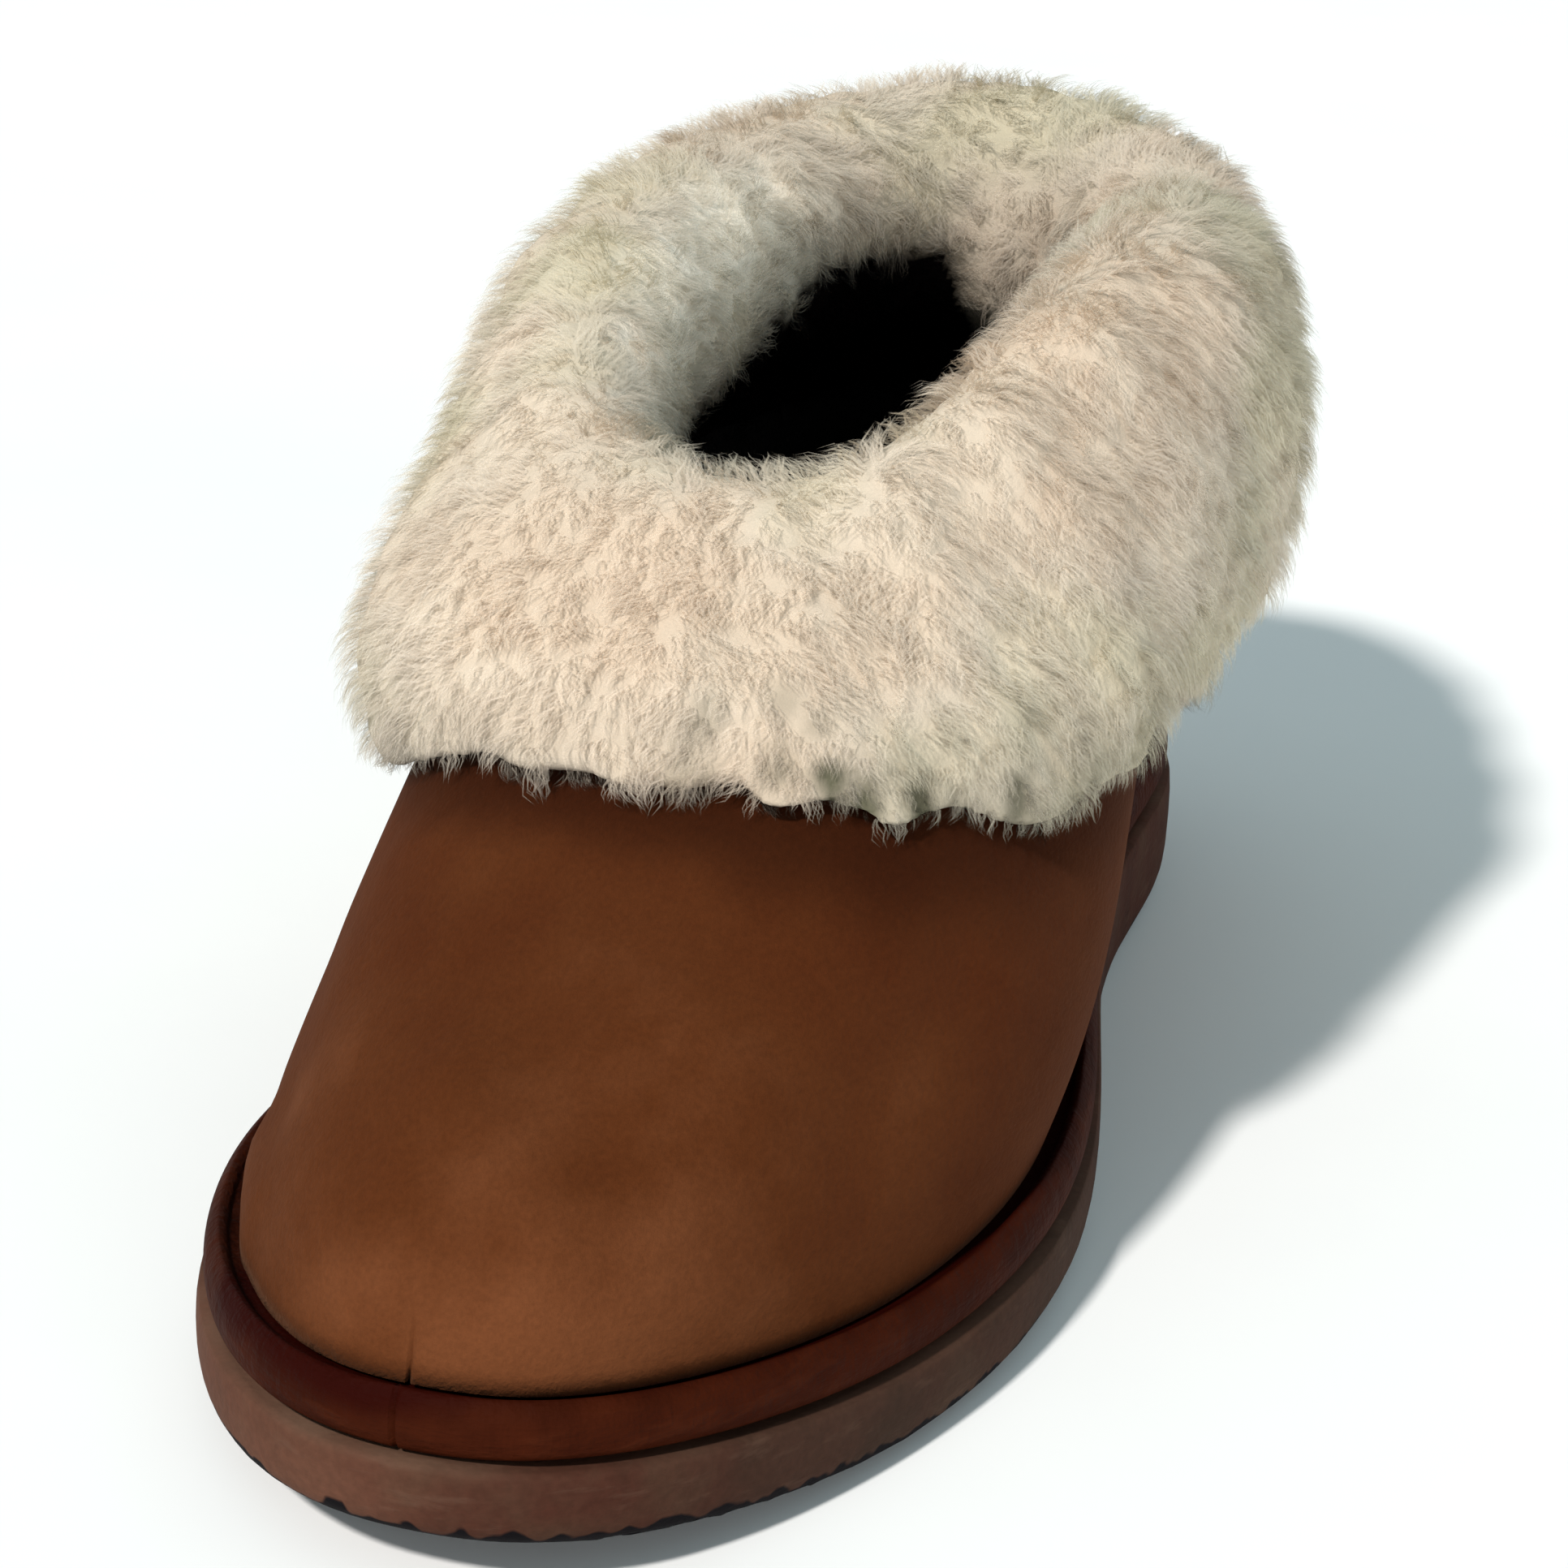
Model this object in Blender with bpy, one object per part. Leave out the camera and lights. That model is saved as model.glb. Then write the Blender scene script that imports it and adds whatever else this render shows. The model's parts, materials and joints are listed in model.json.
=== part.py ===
"""Sheepskin slipper for the left foot: toe towards -Y, little toe towards +X, standing on z = 0.

From the floor up it is an outsole, a midsole slab wrapped in leather, a hollow suede upper that
stands on the slab, an insole inside it, and a deep wool cuff that hooks over the upper's top line.
Run with:  blender --background --python part.py
"""

import math
from collections import namedtuple

import bmesh
import bpy
import numpy as np
from mathutils import Matrix, Vector

MM = 0.001  # every size below is in millimetres

# Driving sizes
SOLE_LENGTH = 266.0
GAP = 0.35  # clearance between pieces that touch on the real slipper
COLUMNS = 80  # points around each loop, an even number

# Sole, as distances in from the outline's edge
BAND_SECTION = (  # inset, and height above the underside
    (2.1, 0.0),
    (1.3, 0.8),
    (0.9, 2.6),
    (1.0, 4.6),
    (1.6, 6.2),
    (2.7, 7.1),  # top of the rolled lip
    (3.6, 6.7),
    (4.1, 5.5),  # groove that the upper stands in
)
FEATHER_INSET = 5.3  # outline to the upper's lower edge
OUTSOLE_EDGE_RADIUS = 4.5
OUTSOLE_EDGE_STEPS = (0, 30, 60, 90)  # degrees
OUTSOLE_TOP_EDGE = ((0.0, 1.5), (0.5, 0.4), (1.6, 0.0))  # inset, and distance below the top
TREAD_DEPTH = 1.5
TREAD_GROOVE = 2.4
TREAD_PITCH = 6.0
TREAD_BAR_LENGTH = 140.0
TREAD_ZONES = ((10.0, 24.0), (46.0, 82.0), (146.0, 172.0), (196.0, 262.0))  # from the heel

# Upper
WALL = 2.0  # suede with its skin, without the wool
QUARTER_LAP = 0.8  # the quarter is lapped over the vamp at both side seams
SEAM_TURNS = (84.0, 273.0)  # where the two side seams run, in degrees round the collar
SEAM_WIDTH = 1.2
RIM_CENTRE = -88.0
RIM_HALF_LENGTH = 76.0
RIM_HALF_WIDTH = 35.0
RIM_OFFSET = -4.0  # the collar's middle lies towards the arch
RIM_ROUNDNESS = 0.88  # 1 is an ellipse, less has fuller corners
INSOLE_INSET = 10.4
INSOLE_THICKNESS = 5.0
INSOLE_SECTION = (  # inset, and height above the midsole
    (0.8, 0.0),
    (0.0, 1.2),
    (0.0, INSOLE_THICKNESS - 1.5),
    (1.5, INSOLE_THICKNESS),
)

# Cuff
LOCKS = 20  # round the cuff in each row
LOCK_RELIEF = 1.5
LOCK_TIP_DROP = 2.2
INNER_RELIEF = 0.5  # share of the relief on the wool inside the collar
LOCK_VARIETY = 0.8
HIDDEN_EDGE = 3.0  # the slot ends this far above the cuff's lower edge

# Outline of the sole: share of the length from the heel, the middle line's offset towards the
# little toe, and the half width before the ends are rounded off.
Outline = namedtuple("Outline", "share centre fullness")
OUTLINE = (
    Outline(0.00, 0.0, 49.0),  # back of the heel
    Outline(0.10, -1.0, 47.6),
    Outline(0.25, 0.7, 36.3),
    Outline(0.40, 1.5, 35.0),  # waist
    Outline(0.52, 1.9, 40.8),
    Outline(0.66, -1.4, 50.8),
    Outline(0.78, -4.5, 55.1),  # ball
    Outline(0.90, -5.4, 53.6),
    Outline(1.00, -4.8, 51.0),  # tip of the toe
)
END_ROUNDNESS = 0.85
OUTLINE_PROBE = 2.0  # degrees either way over which the outline's direction is taken

# Side profile of the sole: heights of the outsole's underside and of its top.
Profile = namedtuple("Profile", "share underside top")
PROFILE = (
    Profile(0.00, 1.6, 17.3),  # heel, slightly bevelled
    Profile(0.06, 0.0, 17.3),
    Profile(0.26, 0.0, 17.3),  # flat heel seat
    Profile(0.34, 0.4, 16.3),
    Profile(0.46, 1.6, 13.9),  # arch
    Profile(0.58, 0.0, 11.5),
    Profile(0.80, 0.0, 10.7),  # forefoot on the floor
    Profile(1.00, 6.0, 16.1),  # toe spring
)

# Ribs of the last, each a curve from the upper's lower edge to the collar's top line. A turn of 0
# is the heel, 90 the outer side, 180 the toe and 270 the arch. The wall starts up by `rise` while
# it swells out by `bulge`, and reaches the top line at the angle `lean` over the last `reach`.
# The cuff hangs down the outside by `drop`, and its wool is `wool` times the section's thickness.
Rib = namedtuple("Rib", "turn rise bulge lean reach top drop wool")
RIBS = (
    Rib(0, 30.0, 4.0, 88.0, 26.0, 101.0, 64.0, 0.90),  # heel
    Rib(45, 30.0, 4.0, 86.0, 26.0, 99.5, 58.0, 0.90),
    Rib(90, 24.0, 11.5, 78.0, 26.0, 101.5, 55.0, 0.90),  # outer side of the instep
    Rib(135, 24.0, 3.5, 60.0, 30.0, 93.0, 54.0, 0.54),
    Rib(180, 25.0, 4.5, 46.0, 34.0, 80.0, 36.0, 0.68),  # toe
    Rib(225, 24.0, -4.0, 60.0, 30.0, 88.0, 50.5, 0.66),
    Rib(270, 30.0, -2.0, 78.0, 26.0, 98.0, 61.0, 0.90),  # arch side
    Rib(315, 30.0, 4.0, 86.0, 26.0, 100.0, 66.0, 0.98),
)

# Section of the wool cuff: `down` is the distance along the wall from its top line, with less than
# nothing above it, and `out` the distance from the wall's outer face. `share` mixes in the drop of
# the cuff's lower edge, so that down = share x drop + down.
Tuft = namedtuple("Tuft", "share down out")
CUFF_SECTION = (
    Tuft(1.0, 0.5, 4.0),  # lower edge, against the suede
    Tuft(1.0, -1.5, 8.5),
    Tuft(1.0, -7.5, 12.5),
    Tuft(0.75, 0.0, 17.5),
    Tuft(0.50, 0.0, 20.0),  # belly
    Tuft(0.25, 0.0, 20.5),
    Tuft(0.0, 0.0, 19.5),
    Tuft(0.0, -8.0, 16.0),
    Tuft(0.0, -13.0, 10.0),
    Tuft(0.0, -15.0, 3.0),  # crest
    Tuft(0.0, -13.0, -5.0),
    Tuft(0.0, -6.0, -12.5),
    Tuft(0.0, 4.0, -15.5),
    Tuft(0.0, 15.0, -14.5),
    Tuft(0.0, 21.0, -11.0),
    Tuft(0.0, 25.0, -5.5),  # lower end inside the shoe
)
TIP_ROWS = (0, 1)  # rows of the section that end in the tips of locks
SLOT_SHARES = (0.0, 0.25, 0.5, 0.75, 1.0)  # loops of the wall that the cuff covers
TURN_IN_LOOPS = 3  # how many of them the cuff also covers on the inside
VAMP_SHARES = (0.14, 0.28, 0.43, 0.58, 0.73, 0.87, 1.0)  # loops from there to the lower edge


def natural_spline(xs, ys, x):
    """Cubic spline with free ends through (xs, ys), at x."""
    xs, ys = np.asarray(xs, float), np.asarray(ys, float)
    h = np.diff(xs)
    n = len(xs)
    system = np.eye(n)
    right = np.zeros(n)
    for i in range(1, n - 1):
        system[i, i - 1 : i + 2] = h[i - 1], 2 * (h[i - 1] + h[i]), h[i]
        right[i] = 6 * ((ys[i + 1] - ys[i]) / h[i] - (ys[i] - ys[i - 1]) / h[i - 1])
    bend = np.linalg.solve(system, right)
    i = np.clip(np.searchsorted(xs, x, side="right") - 1, 0, n - 2)
    a, b = xs[i + 1] - x, x - xs[i]
    curve = (bend[i] * a**3 + bend[i + 1] * b**3) / (6 * h[i])
    start = ys[i] / h[i] - bend[i] * h[i] / 6
    end = ys[i + 1] / h[i] - bend[i + 1] * h[i] / 6
    return curve + start * a + end * b


def steady_curve(xs, ys, x):
    """Smooth curve through (xs, ys) that stays level between two equal heights."""
    xs, ys = np.asarray(xs, float), np.asarray(ys, float)
    h, slope = np.diff(xs), np.diff(ys) / np.diff(xs)
    tangent = np.zeros(len(xs))
    for i in range(1, len(xs) - 1):
        if slope[i - 1] * slope[i] > 0:
            tangent[i] = 2 / (1 / slope[i - 1] + 1 / slope[i])
    tangent[0], tangent[-1] = slope[0], slope[-1]
    i = np.clip(np.searchsorted(xs, x, side="right") - 1, 0, len(xs) - 2)
    t = (x - xs[i]) / h[i]
    start = (1 + 2 * t) * (1 - t) ** 2 * ys[i] + t * (1 - t) ** 2 * h[i] * tangent[i]
    end = t * t * (3 - 2 * t) * ys[i + 1] + t * t * (t - 1) * h[i] * tangent[i + 1]
    return start + end


def column(rows, name):
    return [getattr(row, name) for row in rows]


def shares(turns):
    """Share of the sole's length from the heel, at these turns in degrees."""
    return (1 - np.cos(np.radians(turns))) / 2


def outline(turns, grow=0.0):
    """Plan of the sole's edge at these turns, moved outwards by grow."""

    def edge(at):
        t = shares(at)
        sine = np.sin(np.radians(at))
        half = natural_spline(column(OUTLINE, "share"), column(OUTLINE, "fullness"), t)
        middle = natural_spline(column(OUTLINE, "share"), column(OUTLINE, "centre"), t)
        x = middle + half * np.sign(sine) * np.abs(sine) ** END_ROUNDNESS
        return np.stack([x, -t * SOLE_LENGTH], axis=1)

    along = edge(turns + OUTLINE_PROBE) - edge(turns - OUTLINE_PROBE)
    outward = np.stack([-along[:, 1], along[:, 0]], axis=1)
    return edge(turns) + grow * outward / np.linalg.norm(outward, axis=1)[:, None]


def height(turns, name):
    return steady_curve(column(PROFILE, "share"), column(PROFILE, name), shares(turns))


def around(name, turns):
    """A column of RIBS as a smooth closed curve round the shoe."""
    rows = sorted(RIBS)
    at, values = column(rows, "turn"), column(rows, name)
    at = [t - 360 for t in at] + at + [t + 360 for t in at]
    return natural_spline(at, values * 3, np.mod(turns, 360.0))


def platform(turns):
    """Height of the groove on the midsole that the upper stands in."""
    return height(turns, "top") + GAP + BAND_SECTION[-1][1]


def unit(vectors):
    return vectors / np.linalg.norm(vectors, axis=1)[:, None]


def rounded(wave):
    """A sine or cosine drawn out towards a fuller corner."""
    return np.sign(wave) * np.abs(wave) ** RIM_ROUNDNESS


class Wall:
    """Outer face of the upper without its laps, as one Bezier rib for each turn."""

    STEPS = 48  # points along each rib
    PROBE = 1.5  # distance either way over which the wall's slope is taken

    def __init__(self, turns):
        self.turns = np.asarray(turns, float)
        low, low_handle = self.lower_ends()
        rim, rim_handle = self.upper_ends(low)
        u = np.linspace(1, 0, self.STEPS + 1)[:, None, None]
        v = 1 - u
        self.path = v**3 * low + 3 * v * v * u * low_handle + 3 * v * u * u * rim_handle + u**3 * rim
        steps = np.linalg.norm(np.diff(self.path, axis=0), axis=2)
        self.length = np.vstack([np.zeros(len(self.turns)), np.cumsum(steps, axis=0)])

    def lower_ends(self):
        """Ends of the ribs in the groove of the midsole, with their Bezier handles."""
        foot = outline(self.turns, -FEATHER_INSET)
        outwards = outline(self.turns, 1.0 - FEATHER_INSET) - foot
        bulge, rise = around("bulge", self.turns), around("rise", self.turns)
        lap_dip = QUARTER_LAP * np.maximum(bulge, 0.0) / np.hypot(bulge, rise)
        end = np.column_stack([foot, platform(self.turns) + GAP + lap_dip])
        return end, end + np.column_stack([outwards * bulge[:, None], rise])

    def upper_ends(self, low):
        """Ends of the ribs on the collar's top line, with their Bezier handles."""
        sine, cosine = np.sin(np.radians(self.turns)), np.cos(np.radians(self.turns))
        across = RIM_OFFSET + RIM_HALF_WIDTH * rounded(sine)
        along = RIM_CENTRE + RIM_HALF_LENGTH * rounded(cosine)
        rim = np.column_stack([across, along, around("top", self.turns)])
        lean = np.radians(around("lean", self.turns))
        flatness = np.cos(lean)[:, None]
        square = unit(np.column_stack([sine * RIM_HALF_LENGTH, cosine * RIM_HALF_WIDTH]))
        downhill = unit((low - rim)[:, :2])
        way = unit(square * (1 - flatness) + downhill * flatness)
        fall = np.column_stack([way * flatness, -np.sin(lean)])
        return rim, rim + fall * around("reach", self.turns)[:, None]

    def total(self):
        return self.length[-1]

    def centreline(self, down):
        """Points this far down from the top line, or straight on above it where down is negative."""
        down = np.broadcast_to(down, self.turns.shape).astype(float)
        points = np.empty((len(self.turns), 3))
        for i, d in enumerate(down):
            for axis in range(3):
                points[i, axis] = np.interp(d, self.length[:, i], self.path[:, i, axis])
        upwards = unit(self.path[0] - self.path[2])
        return points + np.maximum(-down, 0.0)[:, None] * upwards

    def outward(self, down):
        """Unit normals of the wall, away from the foot."""
        down = np.maximum(np.broadcast_to(down, self.turns.shape), 0.0)
        lower = self.centreline(np.minimum(down + self.PROBE, self.total()))
        rise = self.centreline(np.maximum(down - self.PROBE, 0.0)) - lower
        here = self.centreline(down)
        run = np.roll(here, -1, axis=0) - np.roll(here, 1, axis=0)
        return unit(np.cross(rise, run))

    def face(self, down, out):
        """Loop of points at this distance down the wall and this far out from it."""
        out = np.broadcast_to(out, self.turns.shape)
        return self.centreline(down) + out[:, None] * self.outward(down)


def new_object(name, bm, colour, roughness):
    bmesh.ops.recalc_face_normals(bm, faces=bm.faces)
    mesh = bpy.data.meshes.new(name)
    bm.to_mesh(mesh)
    bm.free()
    mesh.shade_smooth()
    mesh.set_sharp_from_angle(angle=math.radians(40))
    material = bpy.data.materials.new(name)
    material.use_nodes = True
    shader = material.node_tree.nodes["Principled BSDF"]
    shader.inputs["Base Color"].default_value = (*colour, 1.0)
    shader.inputs["Roughness"].default_value = roughness
    shader.inputs["Metallic"].default_value = 0.0
    mesh.materials.append(material)
    return bpy.data.objects.new(name, mesh)


def loft(bm, loops, closed):
    """Faces between neighbouring loops, and from the last back to the first where closed."""
    rings = [[bm.verts.new(Vector(p) * MM) for p in loop] for loop in loops]
    pairs = list(zip(rings, rings[1:]))
    if closed:
        pairs.append((rings[-1], rings[0]))
    for lower, upper in pairs:
        for i in range(len(lower)):
            j = (i + 1) % len(lower)
            bm.faces.new((lower[i], lower[j], upper[j], upper[i]))
    return rings


def ladder_cap(bm, ring):
    """Closes a loop with strips from side to side, so that a curved profile stays true."""
    n = len(ring)
    bm.faces.new((ring[0], ring[1], ring[n - 1]))
    for i in range(1, n // 2 - 1):
        bm.faces.new((ring[i], ring[i + 1], ring[n - i - 1], ring[n - i]))
    bm.faces.new((ring[n // 2 - 1], ring[n // 2], ring[n // 2 + 1]))


def slab(name, loops, colour, roughness):
    """A solid from loops that are stacked upwards, capped at both ends."""
    bm = bmesh.new()
    rings = loft(bm, loops, closed=False)
    ladder_cap(bm, rings[0])
    ladder_cap(bm, rings[-1])
    return new_object(name, bm, colour, roughness)


def evenly(count):
    return np.arange(count) * 360.0 / count


def outsole():
    """Wedge unit with a rounded lower edge, and a small ledge outside the band."""
    turns = evenly(COLUMNS)
    under, top = height(turns, "underside"), height(turns, "top")
    loops = []
    for degrees in OUTSOLE_EDGE_STEPS:
        a = math.radians(degrees)
        inset = OUTSOLE_EDGE_RADIUS * (1 - math.sin(a))
        lift = OUTSOLE_EDGE_RADIUS * (1 - math.cos(a))
        loops.append(np.column_stack([outline(turns, -inset), under + lift]))
    for inset, below in OUTSOLE_TOP_EDGE:
        loops.append(np.column_stack([outline(turns, -inset), top - below]))
    return slab("outsole", loops, (0.088, 0.048, 0.032), 0.75)


def tread_cutter():
    """Bars across the underside, clear of the flat lands under heel and ball."""
    bm = bmesh.new()
    for first, last in TREAD_ZONES:
        for at in np.arange(first, last, TREAD_PITCH):
            turn = math.degrees(math.acos(1 - 2 * at / SOLE_LENGTH))
            floor = float(height(np.array([turn]), "underside")[0])
            size = Vector((TREAD_BAR_LENGTH, TREAD_GROOVE, 2 * TREAD_DEPTH))
            place = Matrix.Translation(Vector((0, -at, floor)) * MM)
            scale = Matrix.Diagonal((*(size * MM), 1.0))
            bmesh.ops.create_cube(bm, size=1.0, matrix=place @ scale)
    return new_object("tread_cutter", bm, (0.5, 0.5, 0.5), 0.5)


def midsole():
    """Platform slab whose wrapped edge is a rounded band with a rolled lip along its top."""
    turns = evenly(COLUMNS)
    base = height(turns, "top") + GAP
    loops = [np.column_stack([outline(turns, -inset), base + up]) for inset, up in BAND_SECTION]
    return slab("midsole", loops, (0.045, 0.008, 0.003), 0.45)


def insole():
    """Footbed with softened edges that lies on the midsole inside the upper."""
    turns = evenly(COLUMNS // 2)
    base = platform(turns) + GAP
    loops = []
    for inset, lift in INSOLE_SECTION:
        loops.append(np.column_stack([outline(turns, -INSOLE_INSET - inset), base + lift]))
    return slab("insole", loops, (0.60, 0.52, 0.40), 0.95)


def covered(wall):
    """Distances down the wall of the loops that the cuff covers, the same for both pieces."""
    reach = around("drop", wall.turns) - HIDDEN_EDGE
    return [share * reach for share in SLOT_SHARES]


def lap(turns):
    """Extra thickness of the quarter, which laps over the vamp at the side seams."""
    first, last = SEAM_TURNS
    front = (turns > first) & (turns < last)
    return np.where(front, 0.0, QUARTER_LAP)


def seam_turns():
    """Even turns with a close pair at each side seam for the step of the lap."""
    turns = set(evenly(COLUMNS))
    for seam in SEAM_TURNS:
        turns = {t for t in turns if abs(t - seam) > 360 / COLUMNS / 2}
        turns |= {seam - SEAM_WIDTH / 2, seam + SEAM_WIDTH / 2}
    return np.array(sorted(turns))


def upper():
    """Hollow suede wall from the midsole to the top line, open above and below."""
    turns = seam_turns()
    wall = Wall(turns)
    downs = covered(wall)
    downs += [downs[-1] + (wall.total() - downs[-1]) * share for share in VAMP_SHARES]
    outside = [wall.face(down, lap(turns)) for down in downs]
    inside = [wall.face(down, -WALL) for down in downs]
    inside[-1][:, 2] = outside[-1][:, 2]
    bm = bmesh.new()
    loft(bm, outside + inside[::-1], closed=True)
    return new_object("upper", bm, (0.145, 0.040, 0.011), 0.85)


def locks(row, rng):
    """Relief of one row of locks round the cuff, staggered from row to row and uneven in size."""
    phase = 2 * math.pi * (LOCKS * evenly(COLUMNS) / 360.0 + row / 2)
    return LOCK_RELIEF * np.cos(phase) + rng.uniform(-LOCK_VARIETY, LOCK_VARIETY, COLUMNS)


def cuff():
    """Wool ring that hooks over the top line, its outer side covered in hanging locks."""
    turns = evenly(COLUMNS)
    wall = Wall(turns)
    drop, wool = around("drop", turns), around("wool", turns)
    rng = np.random.default_rng(7)
    loops = []
    for row, tuft in enumerate(CUFF_SECTION):
        down = tuft.share * drop + tuft.down
        relief = locks(row // 2, rng)
        if row in TIP_ROWS:
            down = down + LOCK_TIP_DROP / LOCK_RELIEF * relief
        if tuft.out < 0:
            loops.append(wall.face(down, tuft.out - INNER_RELIEF * relief))
        else:
            loops.append(wall.face(down, tuft.out * wool + relief))
    inner, outer = -WALL - GAP, QUARTER_LAP + GAP
    downs = covered(wall)
    loops += [wall.face(down, inner) for down in downs[TURN_IN_LOOPS - 1 : 0 : -1]]
    loops += [wall.face(-GAP, inner), wall.face(-GAP, outer)]
    loops += [wall.face(down, outer) for down in downs[1:]]
    bm = bmesh.new()
    loft(bm, loops, closed=True)
    return new_object("cuff", bm, (0.74, 0.62, 0.47), 0.95)


def cut(target, cutter):
    modifier = target.modifiers.new("tread", "BOOLEAN")
    modifier.operation = "DIFFERENCE"
    modifier.object = cutter


def centre_on_origin(objects):
    """Puts the middle of the assembly's box over the origin, with its underside on z = 0."""
    bpy.context.view_layer.update()
    graph = bpy.context.evaluated_depsgraph_get()
    corners = [Vector(c) for obj in objects for c in obj.evaluated_get(graph).bound_box]
    low = Vector(map(min, zip(*corners)))
    high = Vector(map(max, zip(*corners)))
    shift = Vector((-(low.x + high.x) / 2, -(low.y + high.y) / 2, -low.z))
    return Matrix.Translation(shift)


def main():
    for obj in list(bpy.data.objects):
        bpy.data.objects.remove(obj, do_unlink=True)
    slipper = bpy.data.collections.new("sheepskin_slipper")
    helpers = bpy.data.collections.new("cutters")
    for collection in (slipper, helpers):
        bpy.context.scene.collection.children.link(collection)
    pieces = [outsole(), midsole(), insole(), upper(), cuff()]
    for piece in pieces:
        slipper.objects.link(piece)
    cutter = tread_cutter()
    helpers.objects.link(cutter)
    cutter.hide_render = True
    cutter.display_type = "WIRE"
    cut(pieces[0], cutter)
    shift = centre_on_origin(pieces)
    for obj in pieces + [cutter]:
        obj.data.transform(shift)


main()
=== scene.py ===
# %% [markdown]
# A sheepskin slipper, left foot, dressed for its portrait
#
# The slipper is already made as solids: a rubber outsole, a leather-covered
# band, a footbed, a suede upper and a thick wool cuff. This lesson loads those
# solids as a fixed frame and gives each one the surface of the real thing.
# Lengths are in metres, except in the tables that say mm. The toe points along
# -Y, the inner side of the foot is at -X and +Z is up.

# %% Load the solids
import json
import math
import bpy
import bmesh
from mathutils import Matrix, Vector, noise
from mathutils.bvhtree import BVHTree
from mathutils.kdtree import KDTree

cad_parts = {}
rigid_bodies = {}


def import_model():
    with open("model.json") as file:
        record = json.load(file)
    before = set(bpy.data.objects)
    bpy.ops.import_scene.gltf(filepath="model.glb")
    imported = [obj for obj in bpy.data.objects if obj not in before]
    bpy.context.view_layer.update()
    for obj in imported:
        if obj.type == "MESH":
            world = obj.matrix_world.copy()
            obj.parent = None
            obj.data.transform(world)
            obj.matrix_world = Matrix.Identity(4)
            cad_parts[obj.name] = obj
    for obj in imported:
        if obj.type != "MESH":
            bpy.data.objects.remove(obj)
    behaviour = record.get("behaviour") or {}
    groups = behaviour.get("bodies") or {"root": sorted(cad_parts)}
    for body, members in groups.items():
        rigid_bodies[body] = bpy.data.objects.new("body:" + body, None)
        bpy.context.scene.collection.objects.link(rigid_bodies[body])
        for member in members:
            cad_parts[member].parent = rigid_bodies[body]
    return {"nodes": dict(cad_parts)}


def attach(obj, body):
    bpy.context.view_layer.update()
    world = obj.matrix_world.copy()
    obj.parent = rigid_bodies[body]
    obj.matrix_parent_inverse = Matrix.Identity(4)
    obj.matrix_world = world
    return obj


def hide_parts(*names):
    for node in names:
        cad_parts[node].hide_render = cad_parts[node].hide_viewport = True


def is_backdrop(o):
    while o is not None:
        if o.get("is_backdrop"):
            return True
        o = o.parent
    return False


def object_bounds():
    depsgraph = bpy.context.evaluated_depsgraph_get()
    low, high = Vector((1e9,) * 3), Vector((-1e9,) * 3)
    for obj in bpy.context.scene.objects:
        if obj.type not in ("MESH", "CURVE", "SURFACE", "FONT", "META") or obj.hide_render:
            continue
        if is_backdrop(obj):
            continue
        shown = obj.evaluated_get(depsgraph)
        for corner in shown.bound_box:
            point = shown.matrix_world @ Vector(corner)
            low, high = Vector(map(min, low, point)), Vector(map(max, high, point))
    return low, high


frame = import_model()
noise.seed_set(1)  # without a seed, directions drawn from noise would differ on every run
MM = 0.001
solids_box = [list(corner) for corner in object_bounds()]
print("solids box, mm:", [[round(c / MM, 1) for c in corner] for corner in solids_box])

# %% [markdown]
# The camera
#
# It looks down on the toe from a little to the outside, as somebody does who
# has just put the slipper on a table. A long lens from half a metre away keeps
# the shape calm, and a small roll gives the slipper a slight lean.

# %% Camera
EYE = (0.1251, -0.4737, 0.2295)
EYE_TURN_DEG = (69.08, -2.3, 16.0)
LENS_MM, SENSOR_MM = 90.6, 36
NEAREST_SEEN, FARTHEST_SEEN = 0.01, 20


def put_in_scene(name, data):
    """A new object that shows a mesh, a lens or a light."""
    made = bpy.data.objects.new(name, data)
    bpy.context.scene.collection.objects.link(made)
    return made


def set_camera():
    lens = bpy.data.cameras.new("portrait_lens")
    lens.lens, lens.sensor_width = LENS_MM, SENSOR_MM
    lens.clip_start, lens.clip_end = NEAREST_SEEN, FARTHEST_SEEN
    eye = put_in_scene("portrait_camera", lens)
    eye.location = EYE
    eye.rotation_euler = [math.radians(a) for a in EYE_TURN_DEG]
    bpy.context.scene.camera = eye
    return eye


camera = set_camera()
print("camera", [round(c, 3) for c in camera.location])

# %% [markdown]
# Node trees in a few lines
#
# Every finish below is a small node tree. One helper adds a node, sets its
# inputs and links what it is given. The others name what is wanted most often:
# a ramp of colours, a pattern, a mixture, a relief. That keeps the trees
# readable.

# %% Node helpers


def node(tree, kind, links=None, **settings):
    """Adds a node; links maps an input's name or number to a value or to another's output."""
    made = tree.nodes.new(kind)
    for name, value in settings.items():
        setattr(made, name, value)
    for key, value in (links or {}).items():
        if isinstance(value, bpy.types.NodeSocket):
            tree.links.new(value, made.inputs[key])
        else:
            made.inputs[key].default_value = value
    return made


def new_finish(name):
    """An empty material, with its tree and its output node."""
    finish = bpy.data.materials.new(name)
    finish.use_nodes = True
    finish.node_tree.nodes.clear()
    return finish, finish.node_tree, node(finish.node_tree, "ShaderNodeOutputMaterial")


def shaded(tree, out, inputs):
    """Adds the surface shader with these inputs and links it to the material's output."""
    shader = node(tree, "ShaderNodeBsdfPrincipled", inputs)
    tree.links.new(shader.outputs[0], out.inputs[0])


def carried(tree, name):
    """A value that the mesh carries at each of its points, such as how worn it is."""
    return node(tree, "ShaderNodeAttribute", attribute_name=name).outputs["Fac"]


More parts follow.
